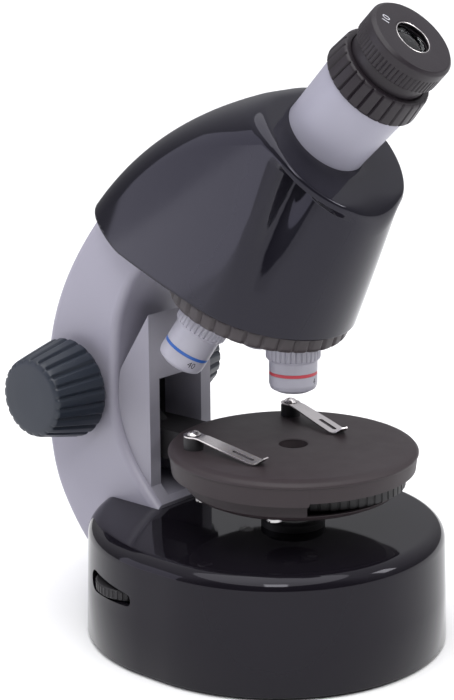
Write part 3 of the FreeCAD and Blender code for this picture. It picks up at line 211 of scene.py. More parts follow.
YELLOW = surface("ring_yellow", (0.62, 0.42, 0.03), 0.40, grain=900.0, bump=0.02)
INK = surface("ink", (0.012, 0.012, 0.014), 0.55, grain=900.0, bump=0.0)
PALE_INK = surface("pale_ink", (0.55, 0.55, 0.60), 0.55, grain=900.0, bump=0.0)

# Finish of each material slot that the record names
SLOT_FINISH = {
    "base_black": GLOSS_BASE, "base_under": MOULDED, "foot_rubber": RUBBER, "screw_steel": STEEL,
    "bay_plastic": MOULDED, "cell_wrap": CELL, "contact": BRASS, "board": BOARD, "led": LED,
    "lamp_frost": FROST, "pot_body": POT, "knob_dark": KNOB_DARK, "wheel_dark": MOULDED,
    "inlet": MOULDED, "arm_grey": ARM_GREY, "column_grey": COLUMN_GREY, "rod_steel": ROD_STEEL,
    "shaft_steel": STEEL, "gear_brass": BRASS, "carrier_black": MOULDED, "stage_black": STAGE_BLACK,
    "clip_steel": CLIP_STEEL, "nose_dark": NOSE_DARK, "objective_grey": OBJECTIVE_GREY,
    "head_dark": GLOSS_HEAD, "tube_grey": TUBE_GREY, "eyepiece_dark": EYEPIECE_DARK, "glass": GLASS,
}
for part in frame["record"]["subparts"]:
    node = frame["nodes"][part["node"]]
    for place in node.material_slots:
        place.material = SLOT_FINISH[part["material_slot"]]


# Mesh helpers

# Edges sharper than this, in degrees, stay sharp
SMOOTH_ANGLE = 35.0
WELD_REACH = 0.002
SLIVER_REACH = 0.001
# A rounding takes at most this share of the edge beside it, and isn't made below the least reach
ROUND_SHARE = 0.45
LEAST_ROUND = 0.02
ON_AXIS = 0.001
# Steps round a turned piece without grooves
TURNED_STEPS = 128


def piece(name, body, verts, faces, material, smooth=SMOOTH_ANGLE):
    """A mesh piece from millimetre points, riding on a body."""
    mesh = bpy.data.meshes.new(name)
    mesh.from_pydata([at(*v) for v in verts], [], faces)
    mesh.validate()
    weld(mesh)
    obj = bpy.data.objects.new(name, mesh)
    bpy.context.scene.collection.objects.link(obj)
    mesh.materials.append(material)
    finish_mesh(obj, smooth)
    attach(obj, body)
    return obj


def weld(mesh):
    """Merge points that fall together, such as a lathe's centre or a trimmed edge."""
    work = bmesh.new()
    work.from_mesh(mesh)
    bmesh.ops.remove_doubles(work, verts=work.verts, dist=WELD_REACH * MM)
    bmesh.ops.dissolve_degenerate(work, dist=SLIVER_REACH * MM, edges=work.edges)
    bmesh.ops.recalc_face_normals(work, faces=work.faces)
    work.to_mesh(mesh)
    work.free()


def finish_mesh(obj, smooth):
    """Smooth shading, with edges beyond the angle kept sharp."""
    mesh = obj.data
    mesh.shade_smooth()
    mesh.set_sharp_from_angle(angle=math.radians(smooth))


def grid(rows, skip=None, wrap=True):
    """Faces between rows of equal length; skip(i, j) leaves one out."""
    count = len(rows[0])
    verts = [p for row in rows for p in row]
    faces = []
    for i in range(len(rows) - 1):
        for j in range(count if wrap else count - 1):
            if skip and skip(i, j):
                continue
            k = (j + 1) % count
            faces.append((i * count + j, i * count + k, (i + 1) * count + k, (i + 1) * count + j))
    return verts, faces


def lathe(profile, place, ribs=None):
    """Turned form from (radius, z) or (radius, z, groove depth) points."""
    segments, wave = ribbed(ribs)
    rows = []
    for point in profile:
        radius, z = point[0], point[1]
        depth = point[2] if len(point) > 2 else 0.0
        row = []
        for j in range(segments):
            a = 2 * math.pi * j / segments
            r = radius - (depth * wave(a) if depth else 0.0)
            row.append(Vector((r * math.cos(a), r * math.sin(a), z)))
        rows.append(row)
    verts, faces = grid(rows)
    last = (len(rows) - 1) * segments
    faces += [(last + j, last + (j + 1) % segments, (j + 1) % segments, j) for j in range(segments)]
    faces = [tuple(reversed(f)) for f in faces]
    return [tuple(place @ v) for v in verts], faces


def ribbed(ribs):
    """Mesh steps and groove wave of a rim, from the grooves' count, steps each and share of the pitch."""
    if ribs is None:
        return TURNED_STEPS, None
    count, steps, share = ribs

    def wave(a):
        """Groove depth at an angle: 1 in the middle of a groove and 0 between two."""
        t = (a * count / (2 * math.pi)) % 1.0
        d = min(t, 1 - t) * 2 / share
        return 0.0 if d >= 1 else 0.5 + 0.5 * math.cos(math.pi * d)

    return count * steps, wave


def prism_cutter(outline, depth_from, depth_to, place):
    """Closed column over a flat (x, y) outline, for carving."""
    count = len(outline)
    verts = [place @ Vector((x, y, z)) for z in (depth_from, depth_to) for x, y in outline]
    faces = [tuple(range(count))[::-1], tuple(range(count, 2 * count))]
    faces += [(j, (j + 1) % count, count + (j + 1) % count, count + j) for j in range(count)]
    return [tuple(v) for v in verts], faces


def circle_outline(radius, steps=64, x=0.0, y=0.0):
    """Flat outline of a circle about a point."""
    turns = [2 * math.pi * j / steps for j in range(steps)]
    return [(x + radius * math.cos(a), y + radius * math.sin(a)) for a in turns]


def carve(obj, cutters, smooth=SMOOTH_ANGLE):
    """Cut closed forms, given in millimetres, out of a piece for good."""
    tools = []
    for verts, faces in cutters:
        mesh = bpy.data.meshes.new("cutter")
        mesh.from_pydata([at(*v) for v in verts], [], faces)
        weld(mesh)
        tool = bpy.data.objects.new("cutter", mesh)
        bpy.context.scene.collection.objects.link(tool)
        cut = obj.modifiers.new("cut", "BOOLEAN")
        cut.operation = "DIFFERENCE"
        cut.solver = "EXACT"
        cut.object = tool
        tools.append(tool)
    ready = obj.evaluated_get(bpy.context.evaluated_depsgraph_get())
    mesh = bpy.data.meshes.new_from_object(ready)
    obj.modifiers.clear()
    old = obj.data
    obj.data = mesh
    mesh.name = obj.name
    bpy.data.meshes.remove(old)
    for tool in tools:
        data = tool.data
        bpy.data.objects.remove(tool)
        bpy.data.meshes.remove(data)
    finish_mesh(obj, smooth)


def soften(obj, width, angle):
    """Small rounding on the edges of a piece that are sharper than an angle."""
    edge = obj.modifiers.new("edge", "BEVEL")
    edge.width = width * MM
    edge.segments = 2
    edge.limit_method = "ANGLE"
    edge.angle_limit = math.radians(angle)
    return edge


def rounded(profile, radius, steps=4):
    """Round the convex and concave corners of a closed (radius, z) profile."""
    out = []
    count = len(profile)
    for i in range(count):
        a, b, c = [Vector(profile[k % count][:2]) for k in (i - 1, i, i + 1)]
        reach = min(radius, (a - b).length * ROUND_SHARE, (c - b).length * ROUND_SHARE)
        if b.x <= ON_AXIS or reach < LEAST_ROUND:
            out.append(tuple(profile[i]))
            continue
        start = b + (a - b).normalized() * reach
        end = b + (c - b).normalized() * reach
        for k in range(steps + 1):
            t = k / steps
            p = start.lerp(b, t).lerp(b.lerp(end, t), t)
            out.append((p.x, p.y) + tuple(profile[i][2:]))
    return out


def nose_z(y, depth):
    """Height of the plane square to the nosepiece axis at a depth below the apex."""
    return APEX_Z - (depth - y * math.sin(TURRET_TILT)) / math.cos(TURRET_TILT)


# Head

# Rows and steps of the skin's mesh
FRONT_STEPS = 60
SIDE_STEPS = 44
CORNER_STEPS = 14
TAIL_STEPS = 8
RIM_ROWS = 10
WALL_ROWS = 64
EDGE_ROWS = 9
FACE_SHARES = (0.35, 0.7, 1.0)
# The wall's rows crowd towards the face by this power
WALL_CROWD = 1.6
# Steps along the outline and in fan angle over which the skin's slope is measured
SLOPE_U = 0.02
SLOPE_FAN = 0.01
# Range of u that holds the crown, a u that is on the side for certain, and how often a search halves
CROWN_SPAN = (1.0, 2.5)
SIDE_U = 1.5
CROWN_HALVINGS = 40
RIM_HALVINGS = 30
# Rounding between flank and crown, at the tail and at the face
RIDGE_LOW = 10.0
RIDGE_HIGH = 23.0
# Valley between cheek and nose: height share, centre, cheek-side width, nose-side width, depth
VALLEY = ((0.00, 0.62, 0.08, 0.10, 0.0), (0.24, 0.73, 0.08, 0.18, 1.8), (0.50, 0.82, 0.08, 0.25, 5.2),
          (0.78, 0.88, 0.07, 0.31, 8.4), (0.925, 0.91, 0.065, 0.34, 10.0), (0.962, 0.91, 0.065, 0.34, 0.0),
          (1.00, 0.91, 0.065, 0.34, 0.0))
LEAST_SCOOP = 0.003
# Rounding of the face's edge in front, over the valleys and at the rear, and the u where it changes
EDGE_FRONT = 9.0
EDGE_VALLEY = 1.3
EDGE_REAR = 3.6
EDGE_FRONT_END = 0.5
EDGE_VALLEY_END = 0.95
EDGE_REAR_LEN = 0.25
# Distance from the fan's line to the face's edge, which turns the rounding into an angle
FAN_REACH = 120.0
LIP = 0.5
LIP_ANGLE = 70
HEAD_SMOOTH = 60.0
TUBE_HOLE_GAP = 0.1


def circle_through(a, b, c):
    """Centre and radius of a circle through three (y, z) points."""
    d = 2 * (a[0] * (b[1] - c[1]) + b[0] * (c[1] - a[1]) + c[0] * (a[1] - b[1]))
    sq = [p[0] ** 2 + p[1] ** 2 for p in (a, b, c)]
    y = (sq[0] * (b[1] - c[1]) + sq[1] * (c[1] - a[1]) + sq[2] * (a[1] - b[1])) / d
    z = (sq[0] * (c[0] - b[0]) + sq[1] * (a[0] - c[0]) + sq[2] * (b[0] - a[0])) / d
    return y, z, math.hypot(a[0] - y, a[1] - z)


class HeadShape:
    """The head's skin: a ruled form between its low outline and its face outline."""

    def __init__(self):
        cos, sin = math.cos(FACE_ANGLE), math.sin(FACE_ANGLE)
        low_y, low_depth = HEAD_LOW
        self.low_start = (low_y, nose_z(low_y, low_depth))
        self.top_start = (FACE[0] - HEAD_LIFT * sin, FACE[1] + HEAD_LIFT * cos)
        # The rim's plane and the face's plane meet on this line in front of the head
        rim_slope = math.tan(TURRET_TILT)
        rim_zero = nose_z(0.0, HEAD_RIM_DEPTH)
        face_slope = sin / cos
        face_zero = FACE[1] - FACE[0] * face_slope
        self.fan_y = (face_zero - rim_zero) / (rim_slope - face_slope)
        self.fan_z = rim_zero + rim_slope * self.fan_y
        face_top = (FACE[0] + FACE_UP * cos, FACE[1] + FACE_UP * sin)
        self.crown = circle_through(face_top, CROWN, TAIL)
        rim_low = (RIM_Y, nose_z(RIM_Y, HEAD_RIM_DEPTH))
        self.rim = circle_through(TAIL, RIM_MIDDLE, rim_low)
        self.tail_angle = math.atan2(TAIL[1] - self.fan_z, TAIL[0] - self.fan_y)

    def outline(self, u, radius, tail_w, start, angle):
        """u from 0 at the front centre to 1 at the side, and on to 2 at the tail."""
        if u <= 1:
            a = u * math.pi / 2
            x, v = radius * math.sin(a), -radius * math.cos(a)
        else:
            v = (u - 1) * TAIL_LEN
            narrowing = radius - tail_w
            big = (narrowing ** 2 + TAIL_LEN ** 2) / (2 * narrowing)
            x = radius - (big - math.sqrt(big ** 2 - v ** 2))
        return Vector((x, start[0] + v * math.cos(angle), start[1] + v * math.sin(angle)))

    def point(self, u, fan):
        """Point of the skin where the plane at a fan angle crosses the ruling at u."""
        low = self.outline(u, HEAD_LOW_R, TAIL_LOW_W, self.low_start, TURRET_TILT)
        top = self.outline(u, HEAD_TOP_R, TAIL_TOP_W, self.top_start, FACE_ANGLE)
        slope = math.tan(fan)
        g_low = (low.z - self.fan_z) - slope * (low.y - self.fan_y)
        g_top = (top.z - self.fan_z) - slope * (top.y - self.fan_y)
        return low.lerp(top, g_low / (g_low - g_top))

    def end(self, fan):
        """Where along the side the skin meets the crown."""
        low, high = CROWN_SPAN
        for _ in range(CROWN_HALVINGS):
            middle = (low + high) / 2
            p = self.point(middle, fan)
            if math.hypot(p.y - self.crown[0], p.z - self.crown[1]) < self.crown[2]:
                low = middle
            else:
                high = middle
        return low

    def ridge(self, fan):
        """How far the corner between flank and crown is rounded: more towards the face."""
        rise = max(0.0, (fan - self.tail_angle) / (FACE_ANGLE - self.tail_angle))
        return RIDGE_LOW + (RIDGE_HIGH - RIDGE_LOW) * rise ** 2

    def above_rim(self, p):
        """True for a point that the rear rim leaves on the head."""
        if p.y <= RIM_Y:
            return True
        return math.hypot(p.y - self.rim[0], p.z - self.rim[1]) < self.rim[2]

    def trim(self, rows):
        """Slide what lies below the rear rim up along its own column onto the rim."""
        for j in range(len(rows[0])):
            for i in range(len(rows) - 1, -1, -1):
                if self.above_rim(rows[i][j]):
                    continue
                inside, outside = rows[i + 1][j], rows[i][j]
                for _ in range(RIM_HALVINGS):
                    middle = inside.lerp(outside, 0.5)
                    if self.above_rim(middle):
                        inside = middle
                    else:
                        outside = middle
                for k in range(i + 1):
                    rows[k][j] = inside
                break

    def pressed(self, u, fan):
        """Point of the skin with the valley between cheek and nose pressed in."""
        p = self.point(u, fan)
        depth = scoop(u, (fan - TURRET_TILT) / (FACE_ANGLE - TURRET_TILT))
        if depth < LEAST_SCOOP:
            return p
        ahead = self.point(u + SLOPE_U, fan) - p
        up = self.point(u, fan + SLOPE_FAN) - p
        normal = ahead.cross(up).normalized()
        if normal.x < 0:
            normal = -normal
        return p - normal * depth

    def half_loop(self, fans):
        """Half an outline, from the front centre to the tail centre; fans has an angle per u."""
        spots = [k / FRONT_STEPS for k in range(FRONT_STEPS)]
        fan = fans(SIDE_U)
        reach = self.ridge(fan)
        last = self.end(fan)
        side_end = self.point(last, fan)
        stop = last - reach / TAIL_LEN
        spots += [1 + (stop - 1) * k / SIDE_STEPS for k in range(SIDE_STEPS + 1)]
        points = [self.pressed(u, fans(u)) for u in spots]
        start = points[-1]
        inner = Vector((side_end.x - reach, side_end.y, side_end.z))
        for k in range(1, CORNER_STEPS + 1):
            t = k / CORNER_STEPS
            points.append(start.lerp(side_end, t).lerp(side_end.lerp(inner, t), t))
        for k in range(1, TAIL_STEPS + 1):
            points.append(inner.lerp(Vector((0, inner.y, inner.z)), k / TAIL_STEPS))
        spots += [2.0] * (len(points) - len(spots))
        return points, spots

    def loop(self, fans):
        """A whole outline, with the u of each of its points kept in spots."""
        half, spots = self.half_loop(fans)
        mirrored = [Vector((-p.x, p.y, p.z)) for p in half[1:-1]]
        self.spots = spots + spots[1:-1][::-1]
        return half + mirrored[::-1]


def scoop(u, f):
    """How deep the flank is pressed in at u along the outline and share f of the height."""
    f = max(0.0, min(1.0, f))
    for low, high in zip(VALLEY, VALLEY[1:]):
        if f <= high[0]:
            break
    t = (f - low[0]) / (high[0] - low[0])
    centre, cheek, nose, depth = [a + (b - a) * t for a, b in zip(low[1:], high[1:])]
    width = cheek if u > centre else nose
    return depth * math.exp(-((u - centre) / width) ** 2)


def ease(t):
    """Smooth rise from 0 to 1."""
    return t * t * (3 - 2 * t)


def edge_radius(u):
    """Rounding of the face's edge: soft in front, crisp over the valleys, fuller at the rear."""
    if u < EDGE_FRONT_END:
        return EDGE_FRONT + (EDGE_VALLEY - EDGE_FRONT) * ease(u / EDGE_FRONT_END)
    past = max(0.0, min(1.0, (u - EDGE_VALLEY_END) / EDGE_REAR_LEN))
    return EDGE_VALLEY + (EDGE_REAR - EDGE_VALLEY) * ease(past)


def make_head():
    """The casing's skin: rim, wall, rounded edge and face in rows, with the tube's hole."""
    shape = HeadShape()
    tail = shape.tail_angle

    def top_fan(u):
        """Fan angle at which the wall ends and the edge's rounding begins."""
        return FACE_ANGLE - edge_radius(u) / FAN_REACH

    def wall_fan(t):
        return lambda u: tail + (top_fan(u) - tail) * t

    rows = [shape.loop(lambda u, k=k: TURRET_TILT + (tail - TURRET_TILT) * k / RIM_ROWS)
            for k in range(RIM_ROWS)]
    rows += [shape.loop(wall_fan(1 - (1 - k / WALL_ROWS) ** WALL_CROWD)) for k in range(WALL_ROWS + 1)]
    wall = rows[-1]
    corner = shape.loop(lambda u: FACE_ANGLE)
    centre = face_centre()
    edge = [p + (centre - p).normalized() * edge_radius(u) for p, u in zip(corner, shape.spots)]
    for k in range(1, EDGE_ROWS + 1):
        t = k / EDGE_ROWS
        rows.append([a.lerp(b, t).lerp(b.lerp(c, t), t) for a, b, c in zip(wall, corner, edge)])
    hole = tube_hole(edge)
    for t in FACE_SHARES:
        rows.append([a.lerp(b, t) for a, b in zip(edge, hole)])
    shape.trim(rows)
    verts, faces = grid([[tuple(p) for p in row] for row in rows])
    head = piece("head_skin", "stand", verts, faces, GLOSS_HEAD, HEAD_SMOOTH)
    shell = head.modifiers.new("wall", "SOLIDIFY")
    shell.thickness = HEAD_WALL * MM
    shell.offset = -1
    soften(head, LIP, LIP_ANGLE)
    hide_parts("head_casing")


def face_centre():
    """Where the eyepiece axis crosses the head's face."""
    cos, sin = math.cos(FACE_ANGLE), math.sin(FACE_ANGLE)
    above = (TUBE_FOOT[1] - FACE[1]) * cos - (TUBE_FOOT[0] - FACE[0]) * sin
    return Vector((0, TUBE_FOOT[0] + above * sin, TUBE_FOOT[1] - above * cos))


def tube_hole(edge):
    """Points of the tube's hole, each in the direction of a point of the face's edge."""
    centre = face_centre()
    radius = TUBE_LOW_R + TUBE_HOLE_GAP
    return [centre + (p - centre).normalized() * radius for p in edge]


# Turned pieces. Profile points are (radius, place along the axis, groove depth).

# Eyepiece, along its axis from the tube's foot
EYE_LOW = TUBE_LEN + 0.35
TUBE_SINK = 7.0
TUBE_EDGE = 0.4
DRAWTUBE_R = 11.6
DRAWTUBE_GAP = 0.05
DRAWTUBE_WALL = 1.2
DRAWTUBE_MORE = 3.0
GRIP_LEN = 10.0
GRIP_LOW_R = 18.1
GRIP_HIGH_R = 17.2
GRIP_EDGE = 0.7
GRIP_RIB_DEPTH = 0.75
GRIP_ROUND = 0.5
# Ribs are given as count, mesh steps for each, and the share of the pitch that a groove takes
GRIP_RIBS = (26, 14, 0.30)
GROOVE_LEN = 4.8
GROOVE_R = 14.4
CUP_LEN = 9.4
CUP_R = 16.0
CUP_EDGE = 1.2
CUP_LIP = 0.5
CUP_LEDGE = 1.2
CUP_FLOOR = 2.2
CUP_ROUND = 0.35
CUP_RIBS = (60, 8, 0.6)
CUP_RIB_DEPTH = 0.36
CUP_RIB_END = 5.2
RING_FIT = 0.15
EYE_LENS_R = 7.4
EYE_LENS_FIT = 0.15
EYE_LENS_SEAT = 2.4
EYE_OPEN_R = 6.6
# Bright ring in the eyecup's opening: radius of its wire, how far in and down it lies, and steps
LENS_RING_R = 0.22
LENS_RING_IN = 0.05
LENS_RING_DOWN = 0.3
LENS_RING_STEPS = 8
LENS_RING_TURN = (96, 1, 1.0)
EYE_NUMERAL_TURN = 40.0
EYE_NUMERAL_R = 9.6
EYE_NUMERAL_SIZE = 4.2
# How far a numeral stands off its surface
INK_LIFT = 0.03

# Objectives, by depth of the tip and turn about the nosepiece's axis
OBJECTIVES = {"4x": (75.4, 0.0), "40x": (79.0, 120.0), "10x": (77.0, 240.0)}
FRONT_LENS = {"4x": 3.6, "40x": 1.4, "10x": 2.6}
RING_COLOUR = {"4x": RED, "40x": BLUE, "10x": YELLOW}
NUMERAL_FACING = {"4x": -82.0, "40x": -112.0, "10x": 60.0}
NUMERAL_UP = 3.4
NUMERAL_SIZE = 3.2
SEAT = 55.2
THREAD_LEN = 4.2
THREAD_R = 7.6
LIGHT_R = 5.0
COLLAR_END = 64.0
COLLAR_R = 9.8
COLLAR_RIBS = (32, 10, 0.5)
COLLAR_RIB_DEPTH = 0.42
OBJECTIVE_ROUND = 0.35
BARREL_R = 8.65
TIP_LEN = 3.0
TIP_R = 5.6
LENS_FIT = 0.15
LENS_SINK = 1.6
CONE_LEN = 4.0
# Colour ring, let into the barrel
RING_UP = 7.6
RING_W = 1.2
RING_DEPTH = 0.25
RING_GAP = 0.05
RING_IN = 0.03
RING_BELOW = 0.04

# Turret
TURRET_WALL = 3.4
PIVOT_BORE_R = 2.55
LOBES = (34, 14, 0.42)
LOBE_DEPTH = 0.85
TURRET_RIM = ((TURRET_R - 0.6, TURRET_TOP, 0.6), (TURRET_R, TURRET_TOP + 0.8, LOBE_DEPTH),
              (TURRET_R, TURRET_LOW - 1.6, LOBE_DEPTH), (TURRET_R - 0.9, TURRET_LOW - 0.2, 0.7),
              (TURRET_R - 2.4, TURRET_LOW))
TURRET_HUB = ((9.5, TURRET_LOW), (7.2, TURRET_LOW + 2.0), (PIVOT_BORE_R, TURRET_LOW + 2.6))
TURRET_ROUND = 0.6
# Gaps round an objective's collar and thread, and how far their cutters run beyond the seat
COLLAR_GAP = 0.5
THREAD_GAP = 0.05
COLLAR_CUT = 12
THREAD_CUT = 14

# Knobs: place of the shaft (y, z), and the profile outwards from the middle plane
DRIVE = (87.6, 85.4)
KNOB_FLUTES = (22, 16, 0.52)
KNOB_ROUND = 0.7
KNOB_PROFILE = ((3.05, 20.8), (11.0, 20.8), (12.0, 22.4), (17.6, 23.9, 0.3), (19.0, 25.6, 0.9),
                (17.05, 34.7, 0.95), (15.1, 43.4, 0.95), (14.5, 45.0, 0.5), (12.6, 45.7), (7.5, 45.95),
                (0.0, 46.0), (0.0, 43.2), (3.05, 43.2))


def stand_for(obj, node):
    """Hide a node, so that a piece shows in its place."""
    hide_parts(node)


def turn_piece(name, body, profile, material, place, ribs=None, round_r=0.3):
    """A turned piece that stands for the node of the same name."""
    verts, faces = lathe(rounded(profile, round_r), place, ribs)
    stand_for(piece(name + "_skin", body, verts, faces, material), name)


def make_eyepiece():
    groove = EYE_LOW + GRIP_LEN
    cup = groove + GROOVE_LEN
    top = cup + CUP_LEN
    bore = DRAWTUBE_R + DRAWTUBE_GAP
    turn_piece("eyepiece_tube", "stand",
               [(bore, -TUBE_SINK), (TUBE_LOW_R, -TUBE_SINK), (TUBE_LOW_R, 0), (TUBE_HIGH_R, TUBE_LEN - 0.1),
                (TUBE_HIGH_R - TUBE_EDGE, TUBE_LEN), (bore, TUBE_LEN)], TUBE_GREY, TUBE_PLACE)
    inner = DRAWTUBE_R - DRAWTUBE_WALL
    low = -TUBE_SINK - DRAWTUBE_MORE
    lens_r = EYE_LENS_R + EYE_LENS_FIT
    seat = top - EYE_LENS_SEAT
    turn_piece("eyepiece_body", "eyepiece",
               [(inner, low), (DRAWTUBE_R, low), (DRAWTUBE_R, EYE_LOW), (GROOVE_R, EYE_LOW),
                (GROOVE_R, seat), (lens_r, seat), (lens_r, cup - 0.5), (inner, groove)],
               EYEPIECE_DARK, TUBE_PLACE)
    root = GROOVE_R + RING_FIT
    turn_piece("grip_ring", "eyepiece",
               [(root, EYE_LOW), (GRIP_LOW_R - GRIP_EDGE, EYE_LOW, 0.4),
                (GRIP_LOW_R, EYE_LOW + 0.9, GRIP_RIB_DEPTH), (GRIP_HIGH_R, groove - 0.8, GRIP_RIB_DEPTH),
                (GRIP_HIGH_R - GRIP_EDGE, groove, 0.3), (root, groove)],
               EYEPIECE_DARK, TUBE_PLACE, GRIP_RIBS, GRIP_ROUND)
    ledge, floor = top - CUP_LEDGE, top - CUP_FLOOR
    turn_piece("eyecup", "eyepiece",
               [(root, cup), (CUP_R - 0.4, cup, 0.2), (CUP_R, cup + 0.4, CUP_RIB_DEPTH),
                (CUP_R, cup + CUP_RIB_END, CUP_RIB_DEPTH), (CUP_R, cup + CUP_RIB_END + 0.5),
                (CUP_R, top - CUP_EDGE), (CUP_R - CUP_EDGE, top), (EYE_OPEN_R + CUP_LIP, top),
                (EYE_OPEN_R, top - CUP_LIP), (EYE_OPEN_R, ledge), (EYE_LENS_R + CUP_LIP, ledge),
                (EYE_LENS_R + CUP_LIP, floor), (root, floor)],
               EYEPIECE_DARK, TUBE_PLACE, CUP_RIBS, CUP_ROUND)
    ring = circle_outline(LENS_RING_R, LENS_RING_STEPS, EYE_OPEN_R - LENS_RING_IN, top - LENS_RING_DOWN)
    verts, faces = lathe(ring, TUBE_PLACE, LENS_RING_TURN)
    piece("lens_ring", "eyepiece", verts, faces, CLIP_STEEL)
    turn = Matrix.Rotation(math.radians(EYE_NUMERAL_TURN), 4, "Z")

    def laid(x, y):
        return TUBE_PLACE @ turn @ Vector((x, y + EYE_NUMERAL_R, top + INK_LIFT))

    numeral("numeral_eyepiece", "eyepiece", "10", EYE_NUMERAL_SIZE, laid, PALE_INK)


def objective_place(turn):
    """Place of an objective whose own axis stands upright when it is turned to the light."""
    return TURRET_PLACE @ Matrix.Rotation(math.radians(turn), 4, "Z") @ Matrix.Rotation(-TURRET_TILT, 4, "X")


def make_objective(name, end, turn, colour):
    """Barrel with thread, knurled collar and tip, its colour ring and its number."""
    place = objective_place(turn)
    ring = end - RING_UP
    ring_end = ring + RING_W
    ring_r = BARREL_R - RING_DEPTH
    lens_r = FRONT_LENS[name] + LENS_FIT
    profile = [(LIGHT_R, SEAT - THREAD_LEN), (THREAD_R, SEAT - THREAD_LEN), (THREAD_R, SEAT),
               (COLLAR_R - 0.5, SEAT, 0.2), (COLLAR_R, SEAT + 0.9, COLLAR_RIB_DEPTH),
               (COLLAR_R, COLLAR_END - 1.2, COLLAR_RIB_DEPTH), (COLLAR_R - 0.4, COLLAR_END - 0.5),
               (BARREL_R, COLLAR_END), (BARREL_R, ring), (ring_r, ring), (ring_r, ring_end),
               (BARREL_R, ring_end), (BARREL_R, end - TIP_LEN), (BARREL_R - 0.5, end - TIP_LEN * 0.45),
               (TIP_R + 0.6, end - 0.25), (TIP_R, end), (lens_r, end), (lens_r, end - LENS_SINK),
               (LIGHT_R - 0.6, end - CONE_LEN)]
    verts, faces = lathe(rounded(profile, OBJECTIVE_ROUND, 3), place, COLLAR_RIBS)
    barrel = piece("objective_" + name + "_skin", "turret_body", verts, faces, OBJECTIVE_GREY)
    stand_for(barrel, "objective_" + name)
    inner_r, outer_r = ring_r + RING_IN, BARREL_R - RING_BELOW
    low, high = ring + RING_GAP, ring_end - RING_GAP
    band = [(inner_r, low), (outer_r, low), (outer_r, high), (inner_r, high)]
    verts, faces = lathe(band, place)
    piece("colour_ring_" + name, "turret_body", verts, faces, colour)
    facing = math.radians(NUMERAL_FACING[name])
    local = place.inverted().to_3x3() @ Vector((math.cos(facing), math.sin(facing), 0))
    middle, height, r = math.atan2(local.y, local.x), end - NUMERAL_UP, BARREL_R + INK_LIFT

    def bent(x, y):
        a = middle - x / r
        return place @ Vector((r * math.cos(a), r * math.sin(a), height - y))

    numeral("numeral_" + name, "turret_body", name.rstrip("x"), NUMERAL_SIZE, bent, INK)


def numeral(name, body, digits, size, put, material):
    """A plain number laid out flat and put on a surface by put(x, y), just clear of it."""
    curve = bpy.data.curves.new("numeral", "FONT")
    curve.body = digits
    curve.size = size
    curve.align_x = "CENTER"
    curve.resolution_u = 3
    flat = bpy.data.objects.new("numeral", curve)
    bpy.context.scene.collection.objects.link(flat)
    letters = bpy.data.meshes.new_from_object(flat.evaluated_get(bpy.context.evaluated_depsgraph_get()))
    verts = [tuple(put(v.co.x, v.co.y)) for v in letters.vertices]
    faces = [tuple(f.vertices) for f in letters.polygons]
    bpy.data.objects.remove(flat)
    bpy.data.curves.remove(curve)
    bpy.data.meshes.remove(letters)
    piece(name, body, verts, faces, material)


def make_turret():
    """Cup with a scalloped rim, cut for the seats and threads of the three objectives."""
    floor_top = TURRET_LOW - TURRET_WALL
    wall_r = TURRET_R - TURRET_WALL
    inside = [(PIVOT_BORE_R, floor_top), (wall_r, floor_top), (wall_r, TURRET_TOP)]
    profile = [*inside, *TURRET_RIM, *TURRET_HUB]
    verts, faces = lathe(rounded(profile, TURRET_ROUND), TURRET_PLACE, LOBES)
    turret = piece("turret_skin", "turret_body", verts, faces, NOSE_DARK)
    collar, thread = circle_outline(COLLAR_R + COLLAR_GAP), circle_outline(THREAD_R + THREAD_GAP)
    cutters = []
    for _, turn in OBJECTIVES.values():
        place = objective_place(turn)
        cutters.append(prism_cutter(collar, SEAT, SEAT + COLLAR_CUT, place))
        cutters.append(prism_cutter(thread, SEAT - THREAD_CUT, SEAT + 1, place))
    carve(turret, cutters)
    stand_for(turret, "turret")


def make_knob(side):
    """Tapered knob, drawn about Z and laid along X."""
    sideways = Matrix.Rotation(math.radians(90.0 * side), 4, "Y")
    turn_piece("focus_knob_left" if side < 0 else "focus_knob_right", "focus", KNOB_PROFILE,
               KNOB_DARK, Matrix.Translation((0, *DRIVE)) @ sideways, KNOB_FLUTES, KNOB_ROUND)


# Stage and clips

STAGE_R = 45.0
STAGE_TOP = 74.4
STAGE_UNDER = 71.2
STAGE_HOLE_R = 5.0
STAGE_STEPS = 720
# Rounded rim: distances inward from the plate's edge and below its top
STAGE_RIM = ((0.0, 2.8), (0.0, 1.9), (1.0, 0.75), (3.2, 0.0))
RIM_ROUND = 0.9
RIM_ROUND_STEPS = 5
HOLE_EDGE = (1.0, 0.3)
SKIRT_R = 43.8
SKIRT_T = 2.0
SKIRT_LOW = 65.0
# Window for the diaphragm wheel: from and to, in degrees, and the height of its edge
WINDOW = (-134.0, 44.0)
WINDOW_LOW = 66.3
NECK_W = 9.15

# Clips, by distance forward of the screw
CLIP_X = 27.4
CLIP_Y = 23.4
CLIP_HUB_R = 3.6
CLIP_HOLE_R = 1.55
CLIP_HOLE_STEPS = 24
CLIP_ROOT_W = 2.6
CLIP_HALF_W = 3.4
CLIP_TIP_W = 1.3
CLIP_LEN = 33.5
CLIP_WIDE = CLIP_LEN - 12
CLIP_TAPER = 5
CLIP_SLOT = (19.1, 27.1, 0.8)
CLIP_T = 0.5
CLIP_LOW = STAGE_TOP + 4.6 + 0.04
CLIP_TOUCH = STAGE_TOP + 0.4
# Height of the underside: level at the screw, down to the stage, and up at the tip
CLIP_BENDS = ((-4.0, CLIP_LOW), (3.4, CLIP_LOW), (5.0, CLIP_LOW - 0.1), (29.0, CLIP_TOUCH + 0.12),
              (30.0, CLIP_TOUCH), (31.0, CLIP_TOUCH + 0.55), (CLIP_LEN, CLIP_TOUCH + 2.45))
